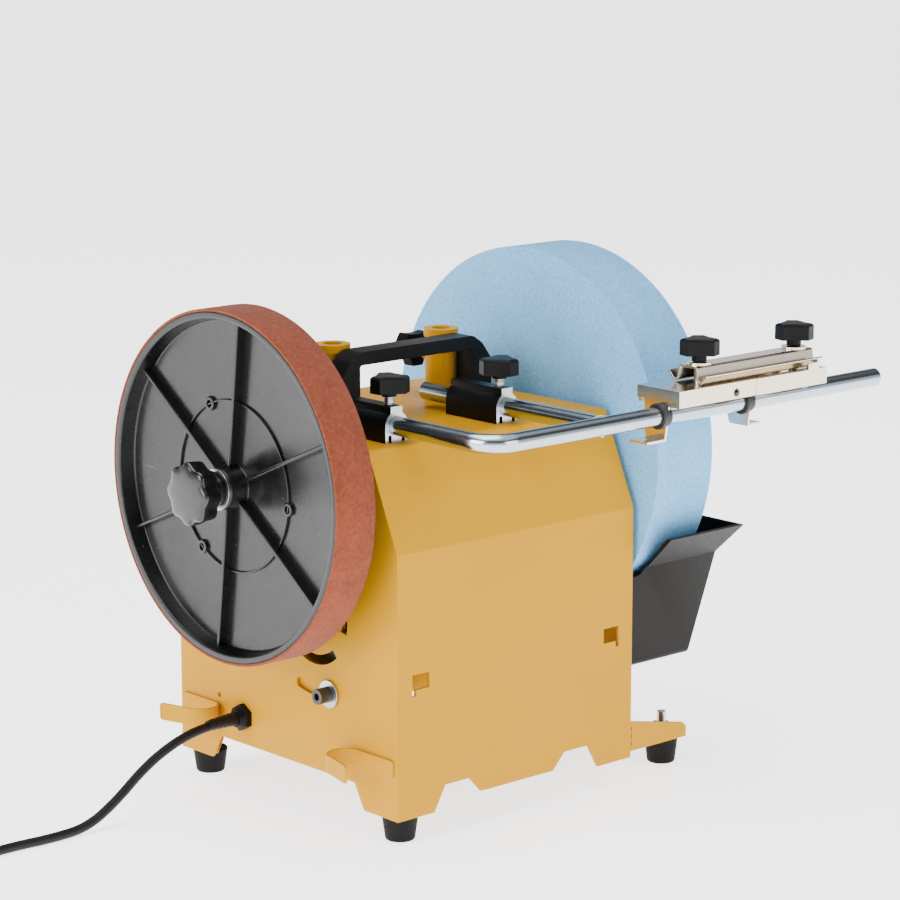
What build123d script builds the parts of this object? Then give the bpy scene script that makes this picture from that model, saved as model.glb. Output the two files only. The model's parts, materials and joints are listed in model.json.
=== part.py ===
from build123d import *
import math
import os

# A wet grinding sharpener: a folded sheet housing with a water-cooled stone on its right and a leather
# honing wheel on its left, both on one shaft.  X runs along the shaft, -Y is the front, +Z is up.
# The sizes below are in the housing's own frame: x = 0 is the outside of the left end wall, y = 0 the
# outside of the front wall and z = 0 the bench.  ORIGIN moves the model to the middle of its footprint.

# Housing
BODY_W = 201.0
BODY_D = 216.0
SHEET = 2.0
BEND_R = 3.0
LEG_Z = 16.0           # underside of the four legs
SKIRT_Z = 32.0         # lower edge of the walls between the legs
DROP_Z = 21.5          # lower edge of the deeper middle of front and back
SHOULDER_Z = 183.0     # where the upright walls lean inwards
TOP_Z = 243.5
SLANT_RUN = 26.5
LEG_L = 30.0           # width of a left-hand leg at its foot
LEG_SLOPE = 9.0
FLANGE_L = 29.0        # inward flange that carries a foot
EAR_Z = 20.0           # underside of the ears
EAR_L = 52.0           # how far the outrigger ears reach past the right wall
EAR_TOP_Z = 39.5
EAR_TIP_Z = 30.0
EAR_D = 32.0
EAR_SLOTS_Z = (25.0, 30.0, 35.0)     # short slots along the line where the ear leaves the wall
EAR_SLOT_L = 3.2
L_SLOT = (12.0, 13.8, 97.0, 9.7)     # inset from the side, width, lower edge, height
L_SLOT_LEG = (2.8, 3.8)

# Feet
FOOT_TOP_R = 11.5
FOOT_R = 9.2
FOOT_INSET = 13.0
EAR_FOOT_X = 47.0      # beyond the right wall
EAR_FOOT_Y = 18.0
FOOT_BOLT_R = 3.0

# Shaft line
AXLE_Y = BODY_D / 2
AXLE_Z = 214.0
SHAFT_R = 6.0
RUN_GAP = 0.05         # radial running clearance of a shaft in a bush
BUSH_R = 10.0
BUSH_FLANGE_R = 14.0

# Grinding stone
STONE_R = 125.0
STONE_W = 50.0
STONE_GAP = 5.0        # housing wall to the stone's inner face
STONE_FLANGE_R = 24.0
STONE_FLANGE_T = 4.0
NUT_T = 12.0

# Honing wheel
HONE_R = 110.6
HONE_W = 30.0
HONE_GAP = 18.7        # housing wall to the honing wheel's inner face
LEATHER_T = 1.8
HONE_RIM = 4.3
HONE_INNER_R = 100.5   # track of the drive roller
HONE_HUB_R = 14.0
WEB_T = 4.0
WEB_DEPTH = 10.7       # from the wheel's front face back to the web
RIB_T = 2.4
RIB_PHASE = 36.6
RIBS = 6
RING_R = 53.5
BOSS_PHASE = 66.0
STAR_R = 20.0
STAR_T = 15.0
STAR_NECK_R = 11.0

# Motor, on a plate that swings about a pin in the left wall
PIVOT = (AXLE_Y - 33.0, AXLE_Z - 63.0)
MOTOR = (AXLE_Y - 30.5, AXLE_Z - 83.0)
MOTOR_R = 42.0
MOTOR_X = (12.0, 118.0)
ROLLER_GAP = 0.3
MOTOR_SHAFT_R = 4.0
LOCK = (AXLE_Y - 44.2, AXLE_Z - 130.0)
LOCK_BOLT_R = 3.0
LOCK_SLOT = 6.6
LOCK_SWEEP = 25.0
VENT_R = (24.2, 30.6)
VENT_SPAN = 84.0
VENT_AT = (-90, 30, 150)

# Support bar and its sleeves
BAR_R = 6.0
BAR_Z = TOP_Z + BAR_R + 4.1
BAR_GAP = 0.08
BAR_Y = -51.0
BAR_END_X = 374.0
BAR_BEND_R = 18.0
LEG_X = (30.0, 122.0)
BAR_LEG_BACK = 111.0
SLEEVE_Y = (34.5, 82.0)
SLEEVE_W = 2 * BAR_R + 6.0
SLEEVE_TOP = BAR_R + 6.0      # ridge above the bore's centre
KNOB_Y = 41.5

# Upright bar tubes
TUBE_R = BAR_R + 4.6
TUBE_Y = 124.0
TUBE_TOP = 47.0        # above the top panel
TUBE_KNOB_Z = 31.0

# Carrying handle
HANDLE_W = BODY_W - 2 * (LEG_X[0] + BAR_R + 0.7)
HANDLE_Y = (94.5, 111.5)
HANDLE_H = 45.0
HANDLE_BAR = 8.5
HANDLE_OPEN = HANDLE_W - 31.6
HANDLE_CORNER = (8.0, 16.5)

# Water trough
TROUGH_W = 76.0
TROUGH_WALL = 2.0
TROUGH_Z = 67.5
TROUGH_BEND_Z = 141.5
TROUGH_RIM_Z = 164.0
TROUGH_LEAN = 24.0
TROUGH_CORNER_R = 5.0
LIP_OUT = 25.0
TROUGH_LIFT = 5.5
PIN_Z = 112.0
PIN_SPREAD = 84.0

# Clamping jig on the bar
JIG_X = (172.5, 307.5)
JIG_Y = (-66.5, -30.0)
JIG_TOP = BAR_Z + BAR_R + 10.9
JIG_FLANGE = 10.5
JIG_T = 1.6
JIG_STEP = 1.0         # how far the right half of the front flange is pressed forward
JIG_STEP_X = 242.0
JIG_TAB = (290.0, 300.0, 4.0)        # start, end and height of the stop tab
JIG_PLATE_X = (172.5, 248.0)
JIG_PLATE_Z = 237.5
JIG_PLATE_Y = (-58.5, -36.5)
JIG_FOOT = (15.0, 10.5)
JIG_BUSH_R = BAR_R + 2.2
JIG_KNOB_X = (208.5, 296.5)
CLAMP_X = (198.0, 306.0)
CLAMP_Y = -48.5
CLAMP_W = 33.5
CLAMP_T = 1.5
CLAMP_H = 11.0

# Hand knobs with three lobes
LOBE_R = 12.2
LOBE_HALF = 4.4
LOBE_HOLLOW = 8.9      # from the centre to the middle of a side
KNOB_T = 10.5
KNOB_NECK_R = 4.8

# Mains inlet and cord
GLAND = (150.0, 50.5)
CORD_R = 3.0
HOOK_Z = (43.0, 54.5)
HOOK_T = 1.5
HOOK_BEND_R = 11.0
HOOK_TIP_R = 3.0

KNOB_FACE_X = -77.0
TROUGH_BACK = BODY_D + LIP_OUT
ORIGIN = ((BAR_END_X + KNOB_FACE_X) / 2, (JIG_Y[0] - JIG_STEP + TROUGH_BACK) / 2, 0.0)


# ---- building blocks ----

def block(x0, x1, y0, y1, z0, z1):
    """A box between two corners."""
    return Pos((x0 + x1) / 2, (y0 + y1) / 2, (z0 + z1) / 2) * Box(x1 - x0, y1 - y0, z1 - z0)


def rod(axis, start, end, a, b, r):
    """A round bar along an axis; a and b place it on the other two axes, in X, Y, Z order."""
    length = end - start
    mid = (start + end) / 2
    if axis == "X":
        return Pos(mid, a, b) * Rot(0, 90, 0) * Cylinder(r, length)
    if axis == "Y":
        return Pos(a, mid, b) * Rot(90, 0, 0) * Cylinder(r, length)
    return Pos(a, b, mid) * Cylinder(r, length)


def ring(axis, start, end, a, b, r_out, r_in):
    """A round tube along an axis."""
    return rod(axis, start, end, a, b, r_out) - rod(axis, start - 1, end + 1, a, b, r_in)


def across(face, x0, x1):
    """A YZ face pushed from x0 to x1."""
    plane = Plane(origin=(x0, 0, 0), x_dir=(0, 1, 0), z_dir=(1, 0, 0))
    return extrude(plane * face, amount=x1 - x0, dir=(1, 0, 0))


def along(face, y0, y1):
    """An XZ face pushed from y0 to y1."""
    plane = Plane(origin=(0, y0, 0), x_dir=(1, 0, 0), z_dir=(0, -1, 0))
    return extrude(plane * face, amount=y1 - y0, dir=(0, 1, 0))


def outline(points, radius=None):
    """A closed flat face through points, with its corners rounded if a radius is given."""
    if radius is None:
        return make_face(Polyline(*points, close=True))
    return make_face(FilletPolyline(*points, radius=radius, close=True))


def hexagon(axis, start, end, a, b, flats):
    """A hexagonal prism, by the distance across its flats."""
    prism = extrude(RegularPolygon(flats / 2, 6, major_radius=False), amount=end - start)
    if axis == "X":
        return Pos(start, a, b) * Rot(0, 90, 0) * prism
    if axis == "Y":
        return Pos(a, start, b) * Rot(-90, 0, 0) * prism
    return Pos(a, b, start) * prism


def polar(centre, radius, degrees):
    """A point on a circle, on the two axes of its plane."""
    turn = math.radians(degrees)
    return centre[0] + radius * math.cos(turn), centre[1] + radius * math.sin(turn)


def mirrored_x(x):
    return BODY_W - x


def sector(centre, r_in, r_out, start, end):
    """A flat curved slot between two radii and two angles."""
    middle = (start + end) / 2
    outer = ThreePointArc(*[polar(centre, r_out, t) for t in (start, middle, end)])
    inner = ThreePointArc(*[polar(centre, r_in, t) for t in (end, middle, start)])
    sides = [Line(outer @ 1, inner @ 0), Line(inner @ 1, outer @ 0)]
    return make_face([outer, sides[0], inner, sides[1]])


# ---- housing ----

def house_face(inset):
    """The housing's section across the shaft, inset from its outside."""
    low = LEG_Z - 20
    points = [
        (0, low), (0, SHOULDER_Z), (SLANT_RUN, TOP_Z),
        (BODY_D - SLANT_RUN, TOP_Z), (BODY_D, SHOULDER_Z), (BODY_D, low),
    ]
    face = outline(points, BEND_R)
    if inset:
        face = offset(face, amount=-inset, kind=Kind.INTERSECTION)
    return face


def skirt_gap():
    """What the front and back walls leave open between and below the legs, in XZ."""
    points = [
        (-1, 0), (-1, LEG_Z), (LEG_L, LEG_Z), (LEG_L + LEG_SLOPE, SKIRT_Z),
        (LEG_L + 29, SKIRT_Z), (LEG_L + 39, DROP_Z), (BODY_W - 70, DROP_Z),
        (BODY_W - 60, SKIRT_Z), (BODY_W - LEG_L - LEG_SLOPE, SKIRT_Z),
        (BODY_W - LEG_L, LEG_Z), (BODY_W + 1, LEG_Z), (BODY_W + 1, 0),
    ]
    return outline(points)


def end_gap():
    """The same for an end wall, in YZ."""
    points = [
        (-1, -10), (-1, LEG_Z), (LEG_L + 2, LEG_Z), (LEG_L + 2 + LEG_SLOPE, SKIRT_Z),
        (BODY_D - LEG_L - 2 - LEG_SLOPE, SKIRT_Z), (BODY_D - LEG_L - 2, LEG_Z),
        (BODY_D + 1, LEG_Z), (BODY_D + 1, -10),
    ]
    return outline(points)


def l_slots():
    """The two L-shaped slots of the front wall, mirrored."""
    inset, width, low, height = L_SLOT
    leg_w, leg_h = L_SLOT_LEG
    left = block(inset, inset + width, -1, SHEET + 1, low, low + height)
    left += block(inset, inset + leg_w, -1, SHEET + 1, low - leg_h, low + 1)
    return left + mirror(left, about=Plane(origin=(BODY_W / 2, 0, 0), z_dir=(1, 0, 0)))


def ear(front):
    """An outrigger ear: an upright web and a flange that carries a foot."""
    tip = BODY_W + EAR_L
    web = outline([
        (BODY_W - 4, EAR_Z), (tip, EAR_Z), (tip, EAR_TIP_Z - 3),
        (tip - 3, EAR_TIP_Z), (BODY_W + 3, EAR_TOP_Z), (BODY_W - 4, EAR_TOP_Z),
    ])
    wall = along(web, 0, SHEET)
    for z in EAR_SLOTS_Z:
        wall -= block(BODY_W + 0.4, BODY_W + 1.2, -1, SHEET + 1, z - EAR_SLOT_L / 2, z + EAR_SLOT_L / 2)
    flange = block(BODY_W + 3, tip, 0, EAR_D, EAR_Z, EAR_Z + SHEET)
    bore = rod("Z", 0, EAR_Z + 9, BODY_W + EAR_FOOT_X, EAR_FOOT_Y, FOOT_BOLT_R + 0.3)
    shape = wall + flange - bore
    if front:
        return shape
    return mirror(shape, about=Plane(origin=(0, BODY_D / 2, 0), z_dir=(0, 1, 0)))


def top_holes():
    """Holes of the top panel, for the bar tubes and for the sleeve and handle screws."""
    low, high = TOP_Z - SHEET - 1, TOP_Z + 1
    holes = [rod("Z", low, high, x, TUBE_Y, BAR_R + 0.3) for x in tube_x()]
    holes += [rod("Z", low, high, x, y, 2.2) for x, y in sleeve_screw_places()]
    holes += [rod("Z", low, high, x, sum(HANDLE_Y) / 2, 2.7) for x in handle_screw_x()]
    return holes


def switch_hole():
    x0, x1, z0, z1 = SWITCH
    return block(x0, x1, BODY_D - SHEET - 1, BODY_D + 1, z0, z1)


def housing_wrap():
    shell = across(house_face(0) - house_face(SHEET), 0, BODY_W)
    shell -= along(skirt_gap(), -1, BODY_D + 1)
    shell -= block(-1, BODY_W + 1, -1, BODY_D + 1, -20, LEG_Z)
    shell -= l_slots()
    shell += ear(True)
    shell += ear(False)
    for hole in top_holes():
        shell -= hole
    return shell - switch_hole()


def end_wall(x0, x1):
    wall = across(house_face(SHEET), x0, x1)
    wall -= across(end_gap(), x0 - 1, x1 + 1)
    return wall - rod("X", x0 - 1, x1 + 1, AXLE_Y, AXLE_Z, BUSH_R)


def lock_slot():
    """The curved slot that the lock bolt slides in, about the motor's pivot."""
    radius = math.dist(PIVOT, LOCK)
    start = math.degrees(math.atan2(LOCK[1] - PIVOT[1], LOCK[0] - PIVOT[0]))
    half = LOCK_SLOT / 2
    end = start + LOCK_SWEEP
    slot = across(sector(PIVOT, radius - half, radius + half, start, end), -1, SHEET + 1)
    for turn in (start, end):
        slot += rod("X", -1, SHEET + 1, *polar(PIVOT, radius, turn), half)
    return slot


def left_end_wall():
    wall = end_wall(0, SHEET)
    wall -= rod("X", -1, SHEET + 1, MOTOR[0] + 3, MOTOR[1] + 1, 14.5)
    wall -= rod("X", -1, SHEET + 1, *PIVOT, PIVOT_PIN_R)
    wall -= lock_slot()
    for centre in VENT_AT:
        span = (centre - VENT_SPAN / 2, centre + VENT_SPAN / 2)
        wall -= across(sector(MOTOR, *VENT_R, *span), -1, SHEET + 1)
    wall -= rod("X", -1, SHEET + 1, BODY_D - 40.4, 59.7, 1.8)
    wall -= rod("X", -1, SHEET + 1, *GLAND, GLAND_THREAD_R)
    return wall + corner_flange(True) + corner_flange(False)


def corner_flange(front):
    """A three-cornered flange folded in at a left leg to carry its foot."""
    deep = FLANGE_L
    face = Polyline(
        (SHEET / 2, SHEET), (deep, SHEET), (deep, 7.0), (7.0, deep), (SHEET / 2, deep), close=True)
    flange = extrude(Pos(0, 0, LEG_Z) * make_face(face), amount=SHEET)
    flange -= rod("Z", 0, LEG_Z + 9, FOOT_INSET, FOOT_INSET, FOOT_BOLT_R + 0.3)
    if front:
        return flange
    return mirror(flange, about=Plane(origin=(0, BODY_D / 2, 0), z_dir=(0, 1, 0)))


def right_end_wall():
    wall = end_wall(BODY_W - SHEET, BODY_W)
    for y in pin_places():
        wall -= rod("X", BODY_W - 5, BODY_W + 5, y, PIN_Z, PIN_R)
    return wall


def foot_places():
    """Each foot's centre and height."""
    ear_x = BODY_W + EAR_FOOT_X
    return [
        (FOOT_INSET, FOOT_INSET, LEG_Z), (FOOT_INSET, BODY_D - FOOT_INSET, LEG_Z),
        (ear_x, EAR_FOOT_Y, EAR_Z), (ear_x, BODY_D - EAR_FOOT_Y, EAR_Z),
    ]


def rubber_foot(x, y, height):
    foot = Pos(x, y, height / 2) * Cone(FOOT_R, FOOT_TOP_R, height)
    foot -= rod("Z", -1, height + 1, x, y, FOOT_BOLT_R)
    return foot - rod("Z", -1, 7, x, y, 5.9)


def foot_bolt(x, y, height):
    bolt = rod("Z", 7, EAR_Z + SHEET + 12.5, x, y, FOOT_BOLT_R)
    bolt += rod("Z", 3, 7, x, y, 5.2)
    return bolt + hexagon("Z", height + SHEET, height + SHEET + 5, x, y, 10)


def cord_hook(front):
    """A strip spot-welded to the left wall and bent into an open hook."""
    y_weld, y_bend, y_tip = (4.0, 35.6, 15.0)
    wall_x, reach = -HOOK_T / 2, -HOOK_T / 2 - 2 * HOOK_BEND_R
    flat = Line((wall_x, y_weld), (wall_x, y_bend))
    bend = ThreePointArc((wall_x, y_bend), (wall_x - HOOK_BEND_R, y_bend + HOOK_BEND_R), (reach, y_bend))
    tip = Line((reach, y_bend), (reach - 5.5, y_tip))
    path = Wire([flat, bend, tip])
    strip = offset(path, amount=HOOK_T / 2, side=Side.BOTH)
    hook = extrude(Pos(0, 0, HOOK_Z[0]) * make_face(strip), amount=HOOK_Z[1] - HOOK_Z[0])
    ends = [(-HOOK_T, 0, y_weld - HOOK_T / 2), (reach - 8, reach - 2, y_tip - HOOK_T / 2)]
    for z, up in ((HOOK_Z[0], 1), (HOOK_Z[1], -1)):
        for low, high, y in ends:
            corner = block(low, high, y - 1, y + HOOK_TIP_R, *sorted((z - up, z + up * HOOK_TIP_R)))
            hook -= corner - rod("X", low, high, y + HOOK_TIP_R, z + up * HOOK_TIP_R, HOOK_TIP_R)
    if front:
        return hook
    return mirror(hook, about=Plane(origin=(0, BODY_D / 2, 0), z_dir=(0, 1, 0)))


def housing_rivets():
    """Button-headed rivets that close the corner flanges, inside the end walls' rear edges."""
    rivets = []
    for z in (70.0, 150.0):
        for x in (14.0, mirrored_x(14.0)):
            rivets.append(rod("Y", BODY_D, BODY_D + 1.4, x, z, 3.2))
    return rivets


# ---- shaft line ----

def shaft_bush(wall_x, inward):
    """A flanged bronze bush in an end wall; inward is +1 on the left wall and -1 on the right."""
    inner = wall_x + inward * SHEET
    low, high = sorted((wall_x, inner + inward * 4))
    body = rod("X", low, high, AXLE_Y, AXLE_Z, BUSH_R)
    low, high = sorted((inner, inner + inward * 4))
    body += rod("X", low, high, AXLE_Y, AXLE_Z, BUSH_FLANGE_R)
    return body - rod("X", -5, BODY_W + 5, AXLE_Y, AXLE_Z, SHAFT_R + RUN_GAP)


def stone_x():
    return BODY_W + STONE_GAP, BODY_W + STONE_GAP + STONE_W


def hone_x():
    return -HONE_GAP - HONE_W, -HONE_GAP


def main_shaft():
    left = hone_x()[0] - 10
    right = stone_x()[1] + STONE_FLANGE_T + NUT_T + 4
    return chamfered_rod(left, right)


def chamfered_rod(left, right):
    shaft = rod("X", left, right, AXLE_Y, AXLE_Z, SHAFT_R)
    return chamfer(shaft.edges(), 0.8)


def grinding_stone():
    x0, x1 = stone_x()
    stone = ring("X", x0, x1, AXLE_Y, AXLE_Z, STONE_R, SHAFT_R)
    rims = [e for e in stone.edges() if e.length > math.tau * STONE_R * 0.9]
    return chamfer(rims, 0.8)


def stone_inner_flange():
    x0 = stone_x()[0]
    disc = rod("X", x0 - 3.5, x0, AXLE_Y, AXLE_Z, STONE_FLANGE_R)
    return disc - rod("X", x0 - 9, x0 + 9, AXLE_Y, AXLE_Z, SHAFT_R)


def stone_outer_flange():
    x1 = stone_x()[1]
    disc = ring("X", x1, x1 + STONE_FLANGE_T, AXLE_Y, AXLE_Z, STONE_FLANGE_R, SHAFT_R)
    rim = disc.edges().group_by(Axis.X)[-1]
    return chamfer(rim.filter_by(lambda e: e.length > math.tau * SHAFT_R * 1.5), 1.2)


def stone_nut():
    start = stone_x()[1] + STONE_FLANGE_T
    nut = hexagon("X", start, start + NUT_T, AXLE_Y, AXLE_Z, 19)
    return nut - rod("X", start - 1, start + NUT_T + 1, AXLE_Y, AXLE_Z, SHAFT_R)


def shaft_collars():
    """Clamp collars that keep the shaft from sliding, one inside each bush."""
    gap = 0.3
    inner = SHEET + 4
    left = ring("X", inner + gap, inner + gap + 9, AXLE_Y, AXLE_Z, 11, SHAFT_R)
    right_x = BODY_W - inner - gap
    right = ring("X", right_x - 9, right_x, AXLE_Y, AXLE_Z, 11, SHAFT_R)
    return [left, right]


def honing_rim():
    """The wheel's rim: its front edge stands in front of the web, and the roller runs in its back."""
    x0, x1 = hone_x()
    outer = HONE_R - LEATHER_T
    web_x = x0 + WEB_DEPTH
    rim = rod("X", x0, x1, AXLE_Y, AXLE_Z, outer)
    rim -= rod("X", x0 - 1, web_x, AXLE_Y, AXLE_Z, outer - HONE_RIM)
    return rim - rod("X", web_x - 1, x1 + 1, AXLE_Y, AXLE_Z, HONE_INNER_R)


def honing_web():
    """The wheel's disc with its hub, ribs, ring and three bosses."""
    x0, x1 = hone_x()
    inner = HONE_INNER_R
    web_x = x0 + WEB_DEPTH
    web = rod("X", web_x, web_x + WEB_T, AXLE_Y, AXLE_Z, inner)
    web += rod("X", x0 - 2, x1 + 4, AXLE_Y, AXLE_Z, HONE_HUB_R)
    for k in range(RIBS):
        rib = block(web_x - 6, web_x + 1, HONE_HUB_R - 2, inner - 0.5, -RIB_T / 2, RIB_T / 2)
        web += Pos(0, AXLE_Y, AXLE_Z) * Rot(RIB_PHASE + 360 / RIBS * k, 0, 0) * rib
    web += ring("X", web_x - 1.6, web_x + 1, AXLE_Y, AXLE_Z, RING_R + 0.9, RING_R - 0.9)
    for k in range(3):
        place = polar((AXLE_Y, AXLE_Z), RING_R, BOSS_PHASE + 120 * k)
        web += rod("X", web_x - 2, web_x + 1, *place, 4.6)
        web -= rod("X", web_x - 6, web_x + WEB_T + 1, *place, 2.2)
    return web - rod("X", x0 - 9, x1 + 9, AXLE_Y, AXLE_Z, SHAFT_R)


def leather_band():
    return ring("X", *hone_x(), AXLE_Y, AXLE_Z, HONE_R, HONE_R - LEATHER_T)


def honing_washer():
    x0 = hone_x()[0] - 2
    return ring("X", x0 - 2, x0, AXLE_Y, AXLE_Z, 13, SHAFT_R)


def honing_knob():
    """An eight-lobed star knob with a domed face, screwed on the shaft's end."""
    back = KNOB_FACE_X + STAR_T
    body = rod("X", KNOB_FACE_X, back, AXLE_Y, AXLE_Z, STAR_R)
    dome = STAR_R * 2.1
    body &= Pos(KNOB_FACE_X + dome, AXLE_Y, AXLE_Z) * Sphere(dome)
    for k in range(8):
        notch = polar((AXLE_Y, AXLE_Z), STAR_R + 2.4, 22.5 + 45 * k)
        body -= rod("X", KNOB_FACE_X - 1, back + 1, *notch, 5.4)
    body += rod("X", back, hone_x()[0] - 4, AXLE_Y, AXLE_Z, STAR_NECK_R)
    return body - rod("X", hone_x()[0] - 10, 0, AXLE_Y, AXLE_Z, SHAFT_R)


# ---- motor ----

PIVOT_PIN_R = 4.0


def motor_can():
    x0, x1 = MOTOR_X
    return ring("X", x0 + 12, x1 - 12, *MOTOR, MOTOR_R, MOTOR_R - 10)


def end_cap(x0, x1, bore_side):
    """A cast end shield with its bearing seat on the bore_side face."""
    cap = rod("X", x0, x1, *MOTOR, MOTOR_R + 1.5)
    seat = (x0 - 1, x0 + 7) if bore_side < 0 else (x1 - 7, x1 + 1)
    cap -= rod("X", *seat, *MOTOR, BEARING_R)
    return cap - rod("X", x0 - 1, x1 + 1, *MOTOR, MOTOR_SHAFT_R + 2)


BEARING_R = 11.0


def motor_end_caps():
    x0, x1 = MOTOR_X
    caps = [end_cap(x0, x0 + 12, -1), end_cap(x1 - 12, x1, 1)]
    for turn in (-150, -30, 90):
        spot = polar(MOTOR, 34, turn)
        caps[0] += rod("X", PLATE_X[1], x0 + 1, *spot, 5)
    return caps


def motor_bearings():
    x0, x1 = MOTOR_X
    seats = [(x0, x0 + 7), (x1 - 7, x1)]
    return [ring("X", a, b, *MOTOR, BEARING_R, MOTOR_SHAFT_R + RUN_GAP) for a, b in seats]


PLATE_X = (2.6, 5.6)


def motor_plate():
    """The swinging plate: it hangs on the pivot pin and is locked by the bolt below."""
    points = [
        (PIVOT[0] - 22, PIVOT[1] + 14), (PIVOT[0] + 34, PIVOT[1] + 14),
        (MOTOR[0] + 42, MOTOR[1] - 12), (LOCK[0] + 26, LOCK[1] - 14),
        (LOCK[0] - 14, LOCK[1] - 14), (MOTOR[0] - 42, MOTOR[1] - 8),
    ]
    plate = across(outline(points, 8), *PLATE_X)
    plate -= rod("X", 0, 9, *PIVOT, PIVOT_PIN_R + RUN_GAP)
    plate -= rod("X", 0, 9, *LOCK, LOCK_BOLT_R)
    for centre in VENT_AT:
        span = (centre - VENT_SPAN / 2 - 4, centre + VENT_SPAN / 2 + 4)
        window = sector(MOTOR, VENT_R[0] - 1.5, VENT_R[1] + 1.5, *span)
        plate -= across(window, PLATE_X[0] - 1, PLATE_X[1] + 1)
    return plate - rod("X", 0, 9, *MOTOR, 10)


def motor_pivot_pin():
    pin = rod("X", -3, 11, *PIVOT, PIVOT_PIN_R)
    pin += rod("X", -3, 0, *PIVOT, 6)
    return pin + hexagon("X", PLATE_X[1] + 0.3, PLATE_X[1] + 4.8, *PIVOT, 11)


def lock_bolt():
    """A socket-head screw through the wall's slot, with a weld nut on the plate."""
    head_x = -WASHER_T - 0.3
    bolt = rod("X", head_x, 13, *LOCK, LOCK_BOLT_R)
    head = rod("X", head_x - 9, head_x, *LOCK, 5)
    head -= Pos(head_x - 9, *LOCK) * Rot(0, 90, 0) * extrude(RegularPolygon(2.5, 6), amount=4)
    return bolt + head + hexagon("X", PLATE_X[1], PLATE_X[1] + 5, *LOCK, 10)


WASHER_T = 1.6


def lock_washer():
    return ring("X", -WASHER_T - 0.3, -0.3, *LOCK, 8.8, LOCK_BOLT_R)


def rotor_shaft():
    tip = hone_x()[0] + WEB_DEPTH + WEB_T + 1.2
    shaft = rod("X", tip, MOTOR_X[1] + 14, *MOTOR, MOTOR_SHAFT_R)
    return shaft + rod("X", MOTOR_X[0] + 18, MOTOR_X[1] - 18, *MOTOR, MOTOR_R - 10.5)


def roller_r():
    return HONE_INNER_R - ROLLER_GAP - math.dist(MOTOR, (AXLE_Y, AXLE_Z))


def drive_roller():
    tip = hone_x()[0] + WEB_DEPTH + WEB_T + 1.6
    return ring("X", tip, hone_x()[1] + 4, *MOTOR, roller_r(), MOTOR_SHAFT_R)


def cooling_fan():
    x = MOTOR_X[1] + 3
    fan = ring("X", x, x + 9, *MOTOR, 9, MOTOR_SHAFT_R)
    for k in range(7):
        blade = block(x, x + 9, 8, 36, -0.8, 0.8)
        fan += Pos(0, *MOTOR) * Rot(360 / 7 * k, 0, 0) * blade
    return fan


# ---- support bar, sleeves, tubes and handle ----

def support_bar():
    """The bent bar: one leg, the long arm along X, and the second leg welded behind the arm."""
    path = FilletPolyline(
        (LEG_X[0], BAR_LEG_BACK, BAR_Z),
        (LEG_X[0], BAR_Y, BAR_Z),
        (BAR_END_X, BAR_Y, BAR_Z),
        radius=BAR_BEND_R)
    section = Plane(origin=path @ 0, z_dir=path % 0) * Circle(BAR_R)
    bar = sweep(section, path=path)
    bar = chamfer(bar.edges().filter_by(GeomType.CIRCLE).group_by(Axis.X)[-1], 1.0)
    bar += rod("Y", BAR_Y, BAR_LEG_BACK, LEG_X[1], BAR_Z, BAR_R)
    return bar + rod("Y", BAR_Y + BAR_R - 2, BAR_Y + BAR_R + 1.5, LEG_X[1], BAR_Z, BAR_R + 1.0)


def sleeve(x):
    """An extruded aluminium sleeve with a screw ridge on top and slotted feet."""
    half = SLEEVE_W / 2
    y0, y1 = SLEEVE_Y
    body = rod("Y", y0, y1, x, BAR_Z, half)
    body += block(x - half, x + half, y0, y1, TOP_Z, BAR_Z)
    body += block(x - 4.6, x + 4.6, y0, y1, BAR_Z, BAR_Z + SLEEVE_TOP)
    for side in (-1, 1):
        low, high = sorted((x + side * 4.0, x + side * 6.6))
        body -= block(low, high, y0 - 1, y1 + 1, TOP_Z - 1, TOP_Z + 4.6)
    body -= rod("Y", y0 - 1, y1 + 1, x, BAR_Z, BAR_R + BAR_GAP)
    body -= rod("Z", BAR_Z, BAR_Z + SLEEVE_TOP + 1, x, KNOB_Y, STUD_R + RUN_GAP)
    for sx, sy in sleeve_screw_places():
        body -= rod("Z", TOP_Z - 1, TOP_Z + 3.4, sx, sy, 2.0)
    return body


STUD_R = 3.0


def sleeve_screw_places():
    y0, y1 = SLEEVE_Y
    return [(x, y) for x in LEG_X for y in (y0 + 12, y1 - 8)]


def sleeve_screws():
    under = TOP_Z - SHEET
    return [rod("Z", under, TOP_Z + 3.4, x, y, 2.0) + rod("Z", under - 2.5, under, x, y, 4.0)
            for x, y in sleeve_screw_places()]


def tube_x():
    middle = BODY_W / 2
    half = (LEG_X[1] - LEG_X[0]) / 2
    return middle - half, middle + half


def bar_tube(x):
    """An upright tube for the support bar's leg, with a collar and a boss for its knob."""
    top = TOP_Z + TUBE_TOP
    tube = rod("Z", TOP_Z, top, x, TUBE_Y, TUBE_R)
    tube += rod("Z", top - 5, top, x, TUBE_Y, TUBE_R + 0.7)
    tube += rod("Y", TUBE_Y, TUBE_Y + TUBE_R + 2, x, TOP_Z + TUBE_KNOB_Z, 7)
    tube -= rod("Z", TOP_Z - 1, top + 1, x, TUBE_Y, BAR_R + BAR_GAP)
    return tube - rod("Y", TUBE_Y, TUBE_Y + TUBE_R + 3, x, TOP_Z + TUBE_KNOB_Z, STUD_R + RUN_GAP)


def handle_screw_x():
    mid = BODY_W / 2
    reach = (HANDLE_W + HANDLE_OPEN) / 4
    return mid - reach, mid + reach


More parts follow.
